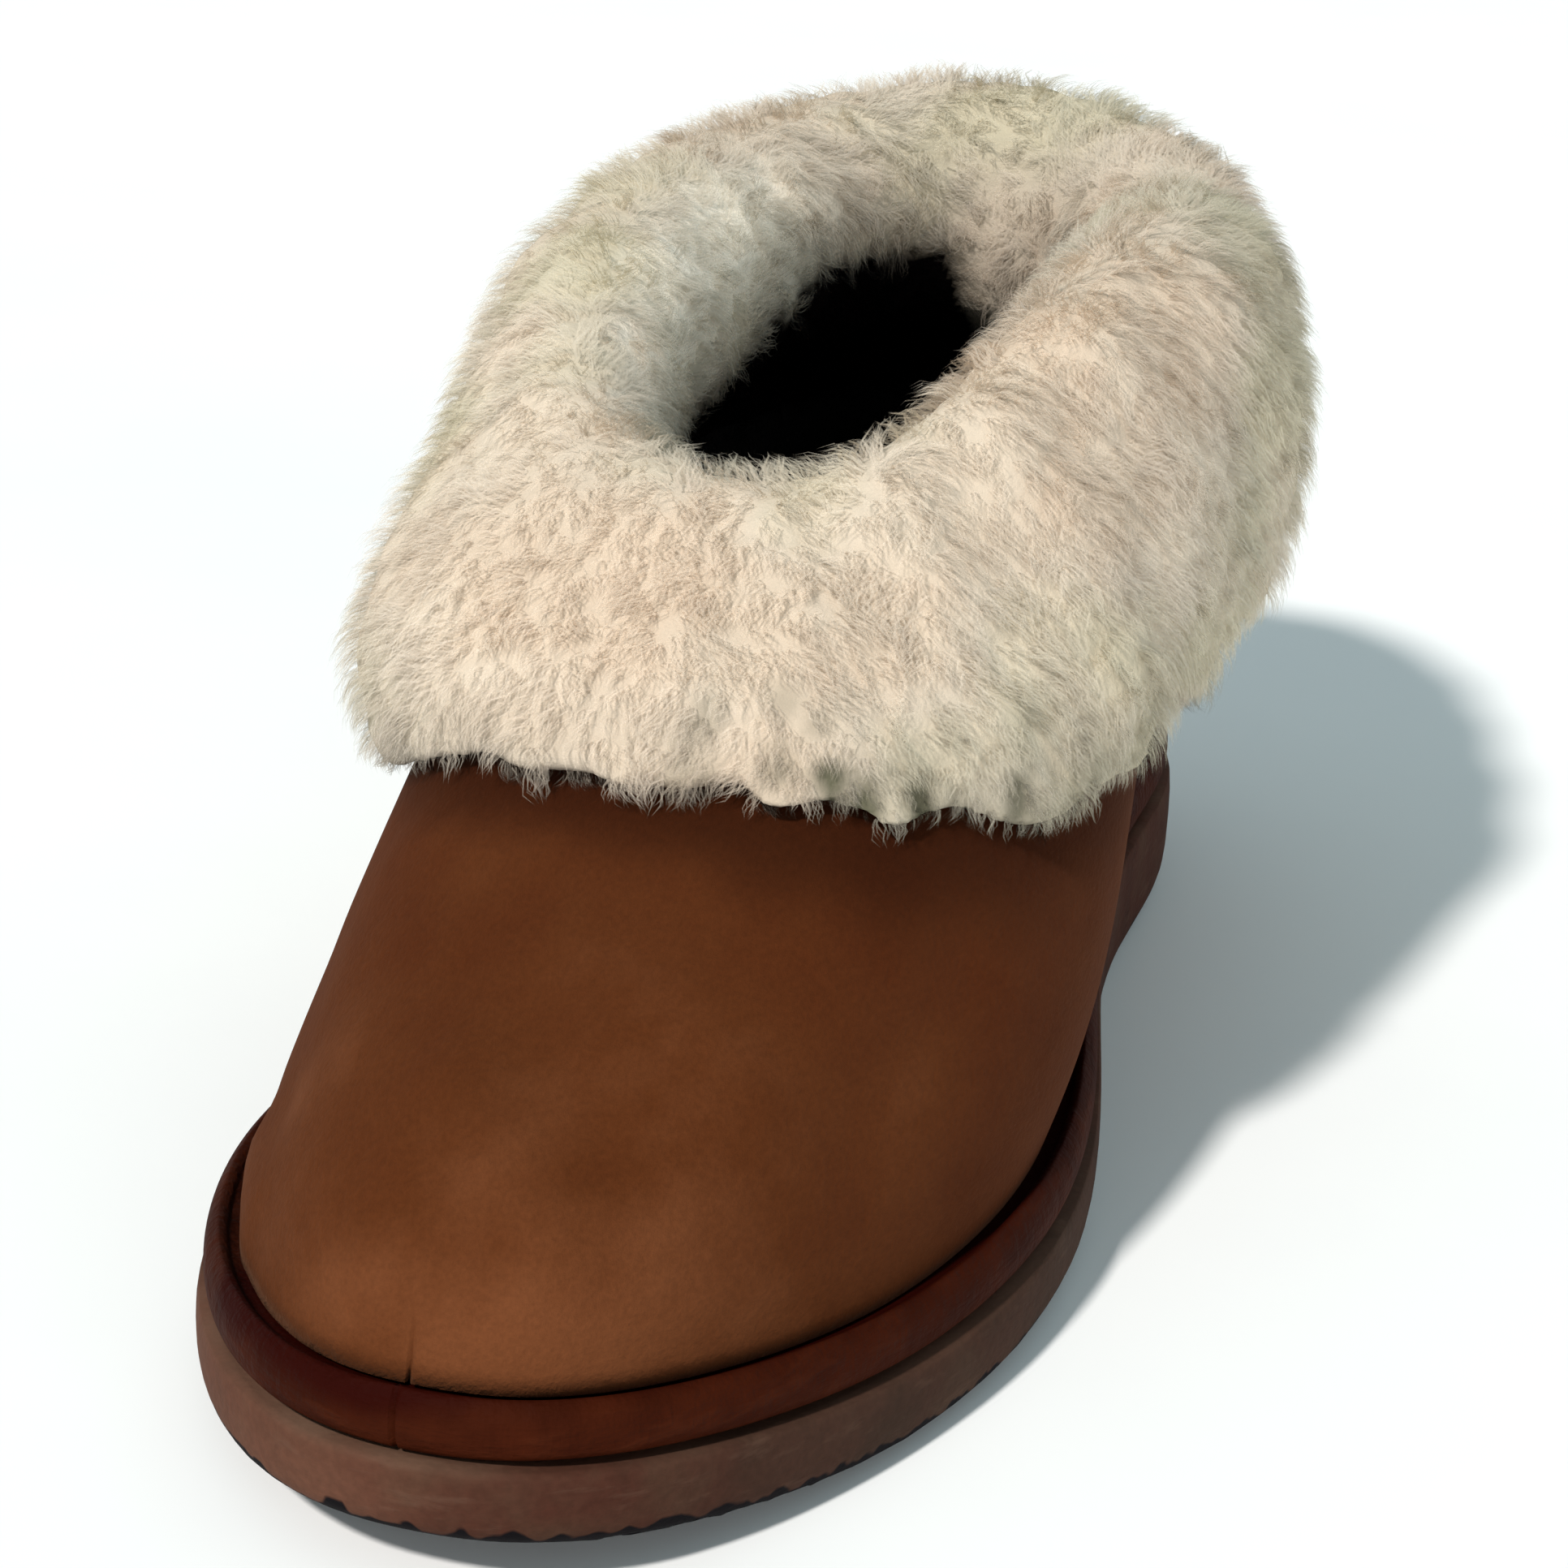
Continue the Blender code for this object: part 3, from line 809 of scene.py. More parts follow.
def rubber_colour(tree, speck, scuffs):
    """The rubber above its tread line, by its attributes "scuffed", "powdered" and "ledge"; the
    ledge is rubbed and a painted highlight.
    """
    plain = ramp(tree, object_noise(tree, 75), RUBBER_COLOURS)
    scuffed = mixed(tree, carried(tree, "scuffed"), plain, RUBBER_SCUFFED)
    powdered = mixed(tree, carried(tree, "powdered"), scuffed, RUBBER_POWDERED)
    specks = ramp(tree, speck, greys((0.35, 0.5), (0.65, 1.0)))
    specked = mixed(tree, SPECK_DARKNESS, powdered, specks, "MULTIPLY")
    rubs = ramp(tree, scuffs, greys((0.57, 0.0), (0.72, 0.35)))
    rubbed = mixed(tree, rubs, specked, RUBBER_RUBBED)
    edge = worked_out(tree, "MULTIPLY", carried(tree, "ledge"), LEDGE_PALENESS)
    return mixed(tree, edge, rubbed, RUBBER_LEDGE_RUB_AND_HIGHLIGHT)


def rubber_finish():
    """Rubber painted black where its attribute "rise" says it is at the ground, a painted contact
    shadow.
    """
    finish, tree, out = new_finish("mauve_brown_rubber")
    speck = object_noise(tree, 900, 2)
    scuffs = object_noise(tree, 260, 4, 0.6, (0.35, 0.35, 1.8))
    lugs = object_noise(tree, 330, 1, 0.5, (1.0, 1.0, 0.1))
    uneven = mapped(tree, lugs, 0.35, 0.65, -TREAD_WAVER, TREAD_WAVER)
    above = worked_out(tree, "ADD", carried(tree, "rise"), uneven)
    out_of_contact_shadow = mapped(tree, above, TREAD_FROM, TREAD_TO)
    shaded(tree, out, {
        "Base Color": mixed(tree, out_of_contact_shadow, RUBBER_PAINTED_CONTACT_SHADOW, rubber_colour(tree, speck, scuffs)),
        "Normal": bump(tree, speck, 0.0002, 0.5, bump(tree, scuffs, 0.0005, 0.4)),
        "Roughness": 0.75, "Specular IOR Level": 0.04})
    return finish


rubber = rubber_finish()
print("rubber nodes", len(rubber.node_tree.nodes))

# %% [markdown]
# The sole's shape
#
# The solid already has the wedge, the spring of the toe and the ripple tread,
# so one round of subdivision with its sharp edges creased is all it needs.

# %% Sole
SOLE_SHARP_DEG, SOLE_LEVELS = 40, 1
sole_shape = fresh_shape("outsole")
crease_sharp_edges(sole_shape, SOLE_SHARP_DEG)
sole = add_piece("sole", sole_shape, rubber, "outsole")
settled(subdivide(sole, SOLE_LEVELS))
print("sole faces", len(sole.data.polygons))

# %% [markdown]
# Dirt, painted shadow and painted highlight on the outsole
#
# The tread follows the spring of the toe, so the painted contact shadow at the
# ground can't be found from the height alone. Each point of the sole is given its
# height above the lowest rubber near it. The upper edge, a small ledge below
# the band, is rubbed pale and painted as a highlight in patches, one stretch at
# the inner side of the toe is scuffed, and one on the outer side is dusty.

# %% Dirt, painted shadow and painted highlight on the outsole
NEAR_BELOW = 3 * MM
LEDGE_REACH = (0.6 * MM, 2.6 * MM)  # distance from the band over which the ledge ends
LEDGE_RUB, LEDGE_RUB_MORE = 0.6, 3.0  # everywhere, and what is added in the palest stretch
LEDGE_LEAST, LEDGE_WAVES = 0.35, 75  # between the patches, and waves per metre of patches
PALEST_LEDGE = ((-30, -118, 15), (-4, -138, 15)), 8 * MM  # ends in mm, and reach
SCUFFED = ((-38, -108, 9), (-13, -138, 9)), 10 * MM
POWDERED = ((38, -100, 10), (48, -45, 10)), 26 * MM
PATCH_WAVES = 60
SCUFF_MOST, SCUFF_PATCHY = 0.85, 0.3  # and how much the patches take away
POWDER_MOST, POWDER_PATCHY = 0.8, 0.5


# rubbed and painted highlight on the ledge below the band, palest at the inner side of the toe
def ledge_at(p):
    rub = LEDGE_RUB + LEDGE_RUB_MORE * near_line(p, *PALEST_LEDGE)
    patch = stepped(noise.noise(p * LEDGE_WAVES), -0.25, 0.3)
    near_band = 1 - stepped(band_surface.find_nearest(p)[3], *LEDGE_REACH)
    return rub * (LEDGE_LEAST + (1 - LEDGE_LEAST) * patch) * near_band


def patchy_dirt(p, stretch, most, patchy):
    patch = 0.5 + 0.5 * noise.noise(p * PATCH_WAVES)
    return most * near_line(p, *stretch) * (1 - patchy + patchy * patch)


def lay_dirt_shadow_and_highlight(piece):
    shape = opened(piece.data)
    finder = KDTree(len(shape.verts))
    for vert in shape.verts:
        finder.insert((vert.co.x, vert.co.y, 0), vert.index)
    finder.balance()
    shape.verts.ensure_lookup_table()
    rise, ledge, scuffed, powdered = (
        shape.verts.layers.float.new(name) for name in ("rise", "ledge", "scuffed", "powdered"))
    for vert in shape.verts:
        close = finder.find_range((vert.co.x, vert.co.y, 0), NEAR_BELOW)
        vert[rise] = vert.co.z - min(shape.verts[number].co.z for _, number, _ in close)
        vert[ledge] = ledge_at(vert.co)
        vert[scuffed] = patchy_dirt(vert.co, SCUFFED, SCUFF_MOST, SCUFF_PATCHY)
        vert[powdered] = patchy_dirt(vert.co, POWDERED, POWDER_MOST, POWDER_PATCHY)
    highest = max(vert[rise] for vert in shape.verts)
    closed(shape, piece.data)
    return highest


print("highest rubber above the tread, mm:", round(lay_dirt_shadow_and_highlight(sole) / MM, 1))

# %% [markdown]
# Footbed and lining
#
# Both are sheepskin too, clipped short, and painted nearly black, a painted
# shade for the dark inside. Nobody sees more of them than a dark hollow, so a
# rough relief is enough and no fibres are planted.

# %% Footbed and lining
# nearly black, a painted shade for the unlit inside
PILE_PAINTED_SHADE_COLOURS = [(0.3, (0.001, 0.001, 0.001)), (0.7, (0.004, 0.003, 0.003))]
BED_SHARP_DEG, BED_CREASE, BED_LEVELS = 50, 0.5, 2


def painted_shade_pile_finish():
    finish, tree, out = new_finish("pile_in_painted_shade")
    curls = object_noise(tree, 260, 5, 0.65)
    shaded(tree, out, {
        "Base Color": ramp(tree, curls, PILE_PAINTED_SHADE_COLOURS), "Roughness": 1.0,
        "Normal": bump(tree, curls, 0.002, 0.9), "Specular IOR Level": 0.1})
    return finish


pile_in_painted_shade = painted_shade_pile_finish()
# the upper's inner faces get the same pile, painted dark as a painted shade
upper.data.materials.append(pile_in_painted_shade)
bed_shape = fresh_shape("insole")
crease_sharp_edges(bed_shape, BED_SHARP_DEG, BED_CREASE)
bed = add_piece("footbed_pile", bed_shape, pile_in_painted_shade, "insole")
subdivide(bed, BED_LEVELS)
print("footbed faces", len(bed.data.polygons), "materials on the upper", len(upper.data.materials))

# %% [markdown]
# The wool's colours
#
# The cuff is sheepskin turned over the top edge, so its wool stands out on both
# sides. It is cream with soft clouds and faint tinges of green and pink. Inside
# the collar it is painted paler, a painted light; in the gaps between locks it
# is painted grey and deep down nearly black, both a painted shade. The fibres let
# some light through and thin out to nothing towards their tips, which makes the
# outline soft. The skin under them has a plain finish, painted darker than the
# fibres as a painted shade beneath them.

# %% Wool finishes
# painted light on the wool inside the collar, and painted shade in the gaps between locks
WOOL_PAINTED_LIGHTER, WOOL_PAINTED_GAP_SHADE = (0.93, 0.875, 0.765, 1), (0.10, 0.096, 0.064, 1)
# painted shade, nearly black, deep inside the collar
WOOL_PAINTED_DARK = (0.004, 0.003, 0.003, 1)
TINGES = [(0.36, (0.93, 0.965, 0.90)), (0.5, (1.0, 1.0, 1.0)), (0.64, (1.0, 0.955, 0.925))]
FIBRE_CREAMS = (0.82, 0.728, 0.618), (0.86, 0.778, 0.672)
# the skin is painted darker than the fibres, a painted shade under them
SKIN_CREAMS_PAINTED_SHADE = (0.508, 0.438, 0.355), (0.562, 0.492, 0.400)
FIBRE_TINTS = [(0.0, (0.93, 0.92, 0.90)), (1.0, (1.0, 1.0, 1.0))]
GLOW_SHARE = 0.3
SOLID_AT_ROOT, SOLID_AT_TIP = 0.44, 0.12


def wool_colour(tree, low, high):
    """Cream between two shades, painted paler by "inner" as a painted light, and grey by "gap" and
    nearly black by "deep" as a painted shade.
    """
    clouds = ramp(tree, object_noise(tree, 30, 3), [(0.3, low), (0.7, high)])
    tinge = ramp(tree, object_noise(tree, 24, 2), TINGES)
    colour = mixed(tree, 1.0, clouds, tinge, "MULTIPLY")
    for name, other in (("inner", WOOL_PAINTED_LIGHTER), ("gap", WOOL_PAINTED_GAP_SHADE), ("deep", WOOL_PAINTED_DARK)):
        colour = mixed(tree, carried(tree, name), colour, other)
    return colour


def fibre_finish():
    finish, tree, out = new_finish("cream_wool")
    tint = ramp(tree, carried(tree, "tint"), FIBRE_TINTS)
    colour = mixed(tree, 1.0, wool_colour(tree, *FIBRE_CREAMS), tint, "MULTIPLY")
    matt = node(tree, "ShaderNodeBsdfDiffuse", {"Color": colour}).outputs[0]
    glow = node(tree, "ShaderNodeBsdfTranslucent", {"Color": colour}).outputs[0]
    both = node(tree, "ShaderNodeMixShader", {0: GLOW_SHARE, 1: matt, 2: glow}).outputs[0]
    solid = mapped(tree, carried(tree, "along"), 0.0, 1.0, SOLID_AT_ROOT, SOLID_AT_TIP)
    clear = node(tree, "ShaderNodeBsdfTransparent").outputs[0]
    fading = node(tree, "ShaderNodeMixShader", {0: solid, 1: clear, 2: both}).outputs[0]
    tree.links.new(fading, out.inputs[0])
    return finish


def skin_finish():
    finish, tree, out = new_finish("wool_underfleece")
    shaded(tree, out, {
        "Base Color": wool_colour(tree, *SKIN_CREAMS_PAINTED_SHADE), "Roughness": 1.0, "Specular IOR Level": 0.0,
        "Normal": bump(tree, object_noise(tree, 420, 5, 0.65), 0.001, 0.5)})
    return finish


cream_wool = fibre_finish()
underfleece = skin_finish()
print("wool nodes", len(cream_wool.node_tree.nodes), "and", len(underfleece.node_tree.nodes))

# %% [markdown]
# The form of the wool's body
#
# What one sees of the wool is mostly the ends of its locks, so the cuff is made
# in two parts: a soft body a little inside the solid, and short crimped fibres
# planted all over it. The body is fuller in some places than in others, puffed
# up where locks stand together, and parted where they fall apart. The tables
# say where, in the slipper's own sizes.

# %% Form of the wool
FULLER = (  # place in mm, reach and extra thickness in mm
    ((-45, -42, 71), 24, 3.0), ((-6, 108, 114), 24, 1.8), ((55, 36, 93), 20, 3.0),
    ((40, 76, 114), 18, -2.6), ((56, 0, 64), 15, -2.2), ((46, -38, 58), 12, 3.2),
    ((-28, -62, 60), 12, -1.8), ((-8, -28, 94), 15, 2.2),
)
PARTINGS = (  # foot of each gap at the front of the cuff's edge and its reach in mm, and its depth
    ((2.4, -66.5, 69.5), 2.4, 0.6), ((4.6, -63.5, 72.5), 2.2, 0.45),
    ((13.0, -60.0, 75.5), 2.2, 0.4), ((17.4, -61.0, 74.0), 2.2, 0.45),
    ((14.0, -65.0, 69.5), 2.6, 0.6), ((19.5, -62.5, 65.5), 2.3, 1.4),
    ((24.0, -63.5, 65.5), 2.3, 1.4), ((29.5, -58.5, 64.0), 2.1, 1.3),
    ((34.0, -55.5, 62.5), 2.0, 0.9), ((38.5, -48.5, 62.0), 2.2, 0.9),
    ((39.5, -43.0, 72.5), 2.0, 0.5), ((43.5, -34.0, 61.0), 2.4, 0.8),
)
PARTING_HEIGHT = 3  # mm
PUFFS_PER_METRE, VALLEY_STEEPNESS = 115, 1.6
WANDER_WAVES, PUFF_WANDER = 60, 0.35  # how the puffs stray from an even spread
CURLS_PER_METRE, CURL_SHARE = 260, 0.35


def fuller_at(p):
    """Extra thickness of the wool, in metres."""
    return sum(extra * MM * near_line(p, upright(place), reach * MM)
               for place, reach, extra in FULLER)


def parting_at(p):
    """Up to 1 in the gaps between locks that were parted one by one."""
    return min(1.0, max(depth * near_line(p, upright(foot, PARTING_HEIGHT), reach * MM)
                        for foot, reach, depth in PARTINGS))


def puff_at(p):
    """Height of the puffs from 0 to 1: domes with narrow valleys between, and curls on them."""
    wander = noise.noise_vector(p * WANDER_WAVES) * PUFF_WANDER
    near = noise.voronoi(p * PUFFS_PER_METRE + wander)[0]
    valley = min(1.0, (near[1] - near[0]) * VALLEY_STEEPNESS)
    curls = 0.5 + 0.5 * noise.noise(p * CURLS_PER_METRE)
    return (1 - CURL_SHARE) * math.sqrt(valley) + CURL_SHARE * curls


print("fuller and thinner places", len(FULLER), "partings", len(PARTINGS))

# %% [markdown]
# The wool's body
#
# The cuff's solid is remeshed into even cells, so that it can be moved freely,
# and smoothed. A first round sinks it by the length of the fibres, less where
# it lies against the suede, and fills it out by the table. A second round, on
# finer cells, raises the puffs and presses the partings in.

# %% Body of the wool
BODY_CELL = 1.3 * MM
WOOL_INSET = 1.9 * MM
INSET_FROM, INSET_SHARE = 1.0 * MM, 0.6  # how far off the suede it begins, and how fast it grows
PUFF_HEIGHT, PUFFS_FULL = 1.0 * MM, 4 * MM  # and the distance from the suede where they are full
PARTING_DEPTH = 0.7 * MM


def recelled(piece, cell):
    """Remeshes a closed piece into even cells."""
    remesher = piece.modifiers.new("cells", "REMESH")
    remesher.mode, remesher.voxel_size = "VOXEL", cell
    return settled(piece)


def smoothed(shape, rounds):
    for _ in range(rounds):
        bmesh.ops.smooth_vert(shape, verts=shape.verts, factor=0.5,
                              use_axis_x=True, use_axis_y=True, use_axis_z=True)
    shape.normal_update()


def moved_out(shape, shift_at):
    """Moves every point along its normal; shift_at takes a place and its distance to the suede."""
    before = [(vert, upper_surface.find_nearest(vert.co)[3], vert.normal.copy())
              for vert in shape.verts]
    for vert, away, normal in before:
        vert.co += normal * shift_at(vert.co, away)


def filled_out(p, away):
    return fuller_at(p) - min(WOOL_INSET, max(0.0, (away - INSET_FROM) * INSET_SHARE))


def puffed(p, away):
    return (PUFF_HEIGHT * (puff_at(p) - 0.5) * min(1.0, away / PUFFS_FULL)
            - PARTING_DEPTH * parting_at(p))


def make_wool_body():
    shape = opened(frame["nodes"]["cuff"].data)
    bmesh.ops.remove_doubles(shape, verts=shape.verts, dist=WELD_WITHIN)
    data = bpy.data.meshes.new("wool_body")
    closed(shape, data)
    piece = put_in_scene("wool_body", data)
    for cell, rounds, shift_at, last_rounds in (
            (2 * BODY_CELL, 4, filled_out, 0), (BODY_CELL, 3, puffed, 1)):
        recelled(piece, cell)
        shape = opened(piece.data)
        smoothed(shape, rounds)
        moved_out(shape, shift_at)
        smoothed(shape, last_rounds)
        closed(shape, piece.data)
    return piece


body = make_wool_body()
print("wool body faces", len(body.data.polygons))

# %% [markdown]
# Dark and light inside the collar
#
# The wool inside the collar goes down into the dark, which is painted on it
# nearly black, a painted shade. A line along the slipper says how high the dark
# reaches, and one corner at the heel is lit further down. Just above the dark
# the wool is painted greyer, and inside the heel a little darker, both painted
# shade.

# %% Dark inside the collar
SHADE_LINE = (  # along the slipper, and height of the dark, in mm
    (-40, 66), (42, 76), (50, 87), (62, 92), (80, 95), (130, 95))
SHADE_SOFTNESS, SHADE_WAVES = 3 * MM, 180
LIT_CORNER_DROP = 17 * MM
LIT_CORNER_X, LIT_CORNER_Y = (-9 * MM, -3 * MM), (80 * MM, 92 * MM)
# painted shade on the inner back wall, near its top
BACK_PAINTED_SHADE, BACK_SHADE_DARKNESS = (((-6, 101, 106), (8, 100, 107)), 13 * MM), 0.2  # ends in mm and reach
DIM_MOST, DIM_UNTIL = 0.32, 12 * MM  # how grey the painted shade just above the dark is, and how far up


def shade_height(y):
    """Height of the line of the dark at this place along the slipper."""
    for (y0, z0), (y1, z1) in zip(SHADE_LINE, SHADE_LINE[1:]):
        if y <= y1 * MM:
            break
    share = min(1.0, max(0.0, (y / MM - y0) / (y1 - y0)))
    return (z0 + (z1 - z0) * share) * MM


def depth_in_shade(p):
    """How far a place lies below the line of the dark, negative above it."""
    lit_corner = LIT_CORNER_DROP * stepped(p.x, *LIT_CORNER_X) * stepped(p.y, *LIT_CORNER_Y)
    return shade_height(p.y) - lit_corner + SHADE_SOFTNESS * noise.noise(p * SHADE_WAVES) - p.z


# the painted dark below the line
def deep_at(below):
    return min(1.0, max(0.0, below / SHADE_SOFTNESS))


# the painted shade, greyer, just above the line
def dim_at(below):
    return DIM_MOST * (1 - stepped(-below, 0, DIM_UNTIL))


print("height of the dark in the middle, mm:", round(shade_height(0.0) / MM, 1))

# %% [markdown]
# Gaps along the lower edge
#
# At the cuff's lower front edge the wool hangs in locks, with narrow upright
# gaps between them, and curls under. The gaps and the curl are painted grey, a
# painted shade, and where the wool comes out beside the suede it is painted
# darker too, as a painted shade. The height of the edge is measured on the
# solid, in steps round the collar.

# %% Gaps along the lower edge
COLLAR_MIDDLE = Vector((0.0, 0.035, 0.0))
EDGE_STEP_DEG = 6
GAPS_PER_METRE, GAP_STRETCH = 140, 0.45  # drawn out upright by this
GAP_DARKNESS, GAP_WIDTHS, GAP_AT_BACK = 0.55, (0.04, 0.30), 0.45
GAP_WAVES, GAP_WANDER = 90, 0.5
GAP_PATCH_WAVES, GAP_PATCHES, ELSEWHERE = 55, (-0.35, 0.25), Vector((3, 1, 2))
GAP_FROM, GAP_TO = 6 * MM, 20 * MM  # height above the edge, where the gaps fade
FRONT_FROM, FRONT_TO = -30 * MM, 10 * MM  # along the slipper, where the front fades
CURL_UNDER, CURL_FROM, CURL_TO = 0.26, 2 * MM, 16 * MM  # painted shade, and the heights where it fades
TUCKED, TUCKED_REACH = 0.6, (1.2 * MM, 3.6 * MM)  # painted shade beside the suede, and its distance


def turn_of(p):
    """Which step round the collar a place is on."""
    around = math.atan2(p.x - COLLAR_MIDDLE.x, p.y - COLLAR_MIDDLE.y)
    return int(math.degrees(around) // EDGE_STEP_DEG)


lower_edge = {}
for vert in frame["nodes"]["cuff"].data.vertices:
    lower_edge[turn_of(vert.co)] = min(lower_edge.get(turn_of(vert.co), 1.0), vert.co.z)


# painted shade where the wool curls under its lower front edge
def curl_under_at(p):
    low = 1 - stepped(p.z - lower_edge[turn_of(p)], CURL_FROM, CURL_TO)
    return CURL_UNDER * low * (1 - stepped(p.y, FRONT_FROM, FRONT_TO))


def gap_at(p):
    """How dark the upright gaps between the locks are painted, a painted shade."""
    drawn = Vector((p.x, p.y, p.z * GAP_STRETCH)) * GAPS_PER_METRE
    near = noise.voronoi(drawn + noise.noise_vector(p * GAP_WAVES) * GAP_WANDER)[0]
    narrow = 1 - stepped(near[1] - near[0], *GAP_WIDTHS)
    front = 1 - stepped(p.y, FRONT_FROM, FRONT_TO)
    patchy = stepped(noise.noise(p * GAP_PATCH_WAVES + ELSEWHERE), *GAP_PATCHES)
    low = 1 - stepped(p.z - lower_edge[turn_of(p)], GAP_FROM, GAP_TO)
    return GAP_DARKNESS * narrow * patchy * low * (GAP_AT_BACK + (1 - GAP_AT_BACK) * front)


def outer_painted_shade_at(p, away):
    """All the painted shade that greys the wool on the outside."""
    tucked = TUCKED * (1 - stepped(away, *TUCKED_REACH))
    return max(gap_at(p), parting_at(p), curl_under_at(p), tucked)


heights = sorted(lower_edge.values())
print("lower edge from", round(heights[0] / MM), "to", round(heights[-1] / MM), "mm")

# %% [markdown]
# How the wool lies
#
# At each point of the body the wool has a direction and a length. It stands
# out from the skin, is combed downward on the outside, and wavers, because
# neighbouring locks lean together. Direction, length, thickness and shades are
# kept on the body as attributes, which the planting and the finishes read.

# %% Direction of the wool
UPRIGHT = 0.7  # how much the wool stands, against how much it lies
COMBED, OUT_AND_DOWN = 0.9, 0.2
WAVERS = ((80, 0.7), (230, 0.65))  # waves per metre, and strength
COLLAR_DRAWN_OUT = 0.6  # y counts less than x, because the collar is longer than wide
UNEVEN, UNEVEN_WAVES = 0.3, 90  # how much the length varies
SHORTER_IN_GAPS, SHORTER_HANGING, HANGING = 0.5, 0.35, (0.1, 0.8)


def way_out(p):
    """Level and away from the middle of the collar."""
    across, along = p.x - COLLAR_MIDDLE.x, p.y - COLLAR_MIDDLE.y
    return Vector((across, along * COLLAR_DRAWN_OUT, 0)).normalized()


def lean_at(p, n, out, inner):
    down = Vector((0, 0, -1)) + out * OUT_AND_DOWN
    comb = down - n * down.dot(n)
    waver = sum((noise.noise_vector(p * waves) * strength for waves, strength in WAVERS), Vector())
    lie = comb * (COMBED * (1 - inner)) + waver
    lie = (lie - n * lie.dot(n)).normalized()
    return (n * UPRIGHT + lie).normalized()


def reach_at(p, n, gap):
    """Length of the wool: uneven, shorter in gaps and where it hangs from below."""
    varied = 1.0 + UNEVEN * noise.noise(p * UNEVEN_WAVES)
    return varied * (1 - SHORTER_IN_GAPS * gap) * (1 - SHORTER_HANGING * stepped(-n.z, *HANGING))


print("waver, waves per metre:", [waves for waves, _ in WAVERS])

# %% [markdown]
# Combing
#
# All of this is now worked out for every point of the body. The direction that
# the wool is lit by is the skin's own, evened out between neighbours: single
# fibres would otherwise glitter, where real wool shades as one soft mass.

# %% Combing
SKIN_ROUNDS = 4
BARE_UNTIL, THICK_OVER = 0.3 * MM, 1.2 * MM  # no wool this near the suede, all of it that much on
PAINTED_LIGHT_UNTIL = 58 * MM, 92 * MM  # along the slipper, where the painted light on the wool inside ends
PAINTED_LIGHT_SIDE = -8 * MM, 8 * MM  # and across it
LOOKS_IN, LOOKS_OUT = (0.2, 0.9), 0.3  # where the inside is painted lighter, and where it is never painted dark


def comb_vert(vert, layers):
    n, p = vert.normal, vert.co
    out = way_out(p)
    inner = max(0.0, -n.dot(out))
    away = upper_surface.find_nearest(p)[3]
    below = depth_in_shade(p)
    # painted light on the wool inside the collar, carried by the attribute inner
    vert[layers["inner"]] = (stepped(inner, *LOOKS_IN) * (1 - stepped(p.y, *PAINTED_LIGHT_UNTIL))
                             * (1 - stepped(p.x, *PAINTED_LIGHT_SIDE)))
    vert[layers["lean"]] = lean_at(p, n, out, inner)
    vert[layers["skin"]] = n
    gap = layers["gap"]
    # the gap attribute carries painted shade inside the heel, on the outside and just above the
    # dark; deep carries the painted dark
    vert[gap] = BACK_SHADE_DARKNESS * near_line(p, *BACK_PAINTED_SHADE)
    if n.dot(out) > 0:
        vert[gap] = max(vert[gap], outer_painted_shade_at(p, away))
    vert[layers["reach"]] = reach_at(p, n, vert[gap])
    vert[layers["thick"]] = min(1.0, max(0.0, (away - BARE_UNTIL) / THICK_OVER))
    vert[layers["deep"]] = deep_at(below) if n.dot(out) < LOOKS_OUT else 0.0
    if n.dot(out) < 0:
        vert[gap] = max(vert[gap], dim_at(below))


def even_out(shape, layer):
    """Averages a direction with those of the neighbours."""
    evened = [sum((edge.other_vert(vert)[layer] for edge in vert.link_edges),
                  vert[layer].copy()).normalized() for vert in shape.verts]
    for vert, normal in zip(shape.verts, evened):
        vert[layer] = normal


def comb_wool(piece):
    shape = opened(piece.data)
    shape.normal_update()
    kinds = shape.verts.layers
    layers = {name: kinds.float.new(name) for name in ("reach", "thick", "deep", "gap", "inner")}
    layers.update({name: kinds.float_vector.new(name) for name in ("lean", "skin")})
    for vert in shape.verts:
        comb_vert(vert, layers)
    for _ in range(SKIN_ROUNDS):
        even_out(shape, layers["skin"])
    closed(shape, piece.data)


comb_wool(body)
print("kept on the body:", [a.name for a in body.data.attributes if not a.is_internal])

# %% [markdown]
# One lock of wool
#
# A lock is a handful of fibres that start apart and lean together, each with
# its own crimp and a curled tip. Each fibre is a ribbon of three steps, since
# hundreds of thousands of them have to stay light. Several different locks are
# made, and the planting picks among them, so that no repeat shows.

# %% Locks
LOCK_KINDS = 12
LOCK_LENGTH, LOCK_SPREAD = 5.4 * MM, 1.0 * MM
FIBRES_IN_A_LOCK, FIBRE_STEPS = 7, 3
FIBRE_WIDTH, TIP_NARROWING = 0.30 * MM, 0.5
RISE_DEG, FALL_DEG = 22, -50  # how a fibre arches from its root to its tip
GATHER = 0.5  # how far the fibres of a lock lean together
PICKS = (  # lowest and highest: place across and forward, length, crimp, its phase, roll in degrees
    (-1, 1), (-0.6, 0.6), (0.7, 1.05), (0.35, 0.75), (0, math.tau), (-30, 30))
CHANCE_STEPS, CHANCE_SPREAD = (127.1, 311.7, 74.7), 43758.5453


def chance(*numbers):
    """A steady number from 0 to 1 for these numbers."""
    return math.sin(sum(n * k for n, k in zip(numbers, CHANCE_STEPS))) * CHANCE_SPREAD % 1


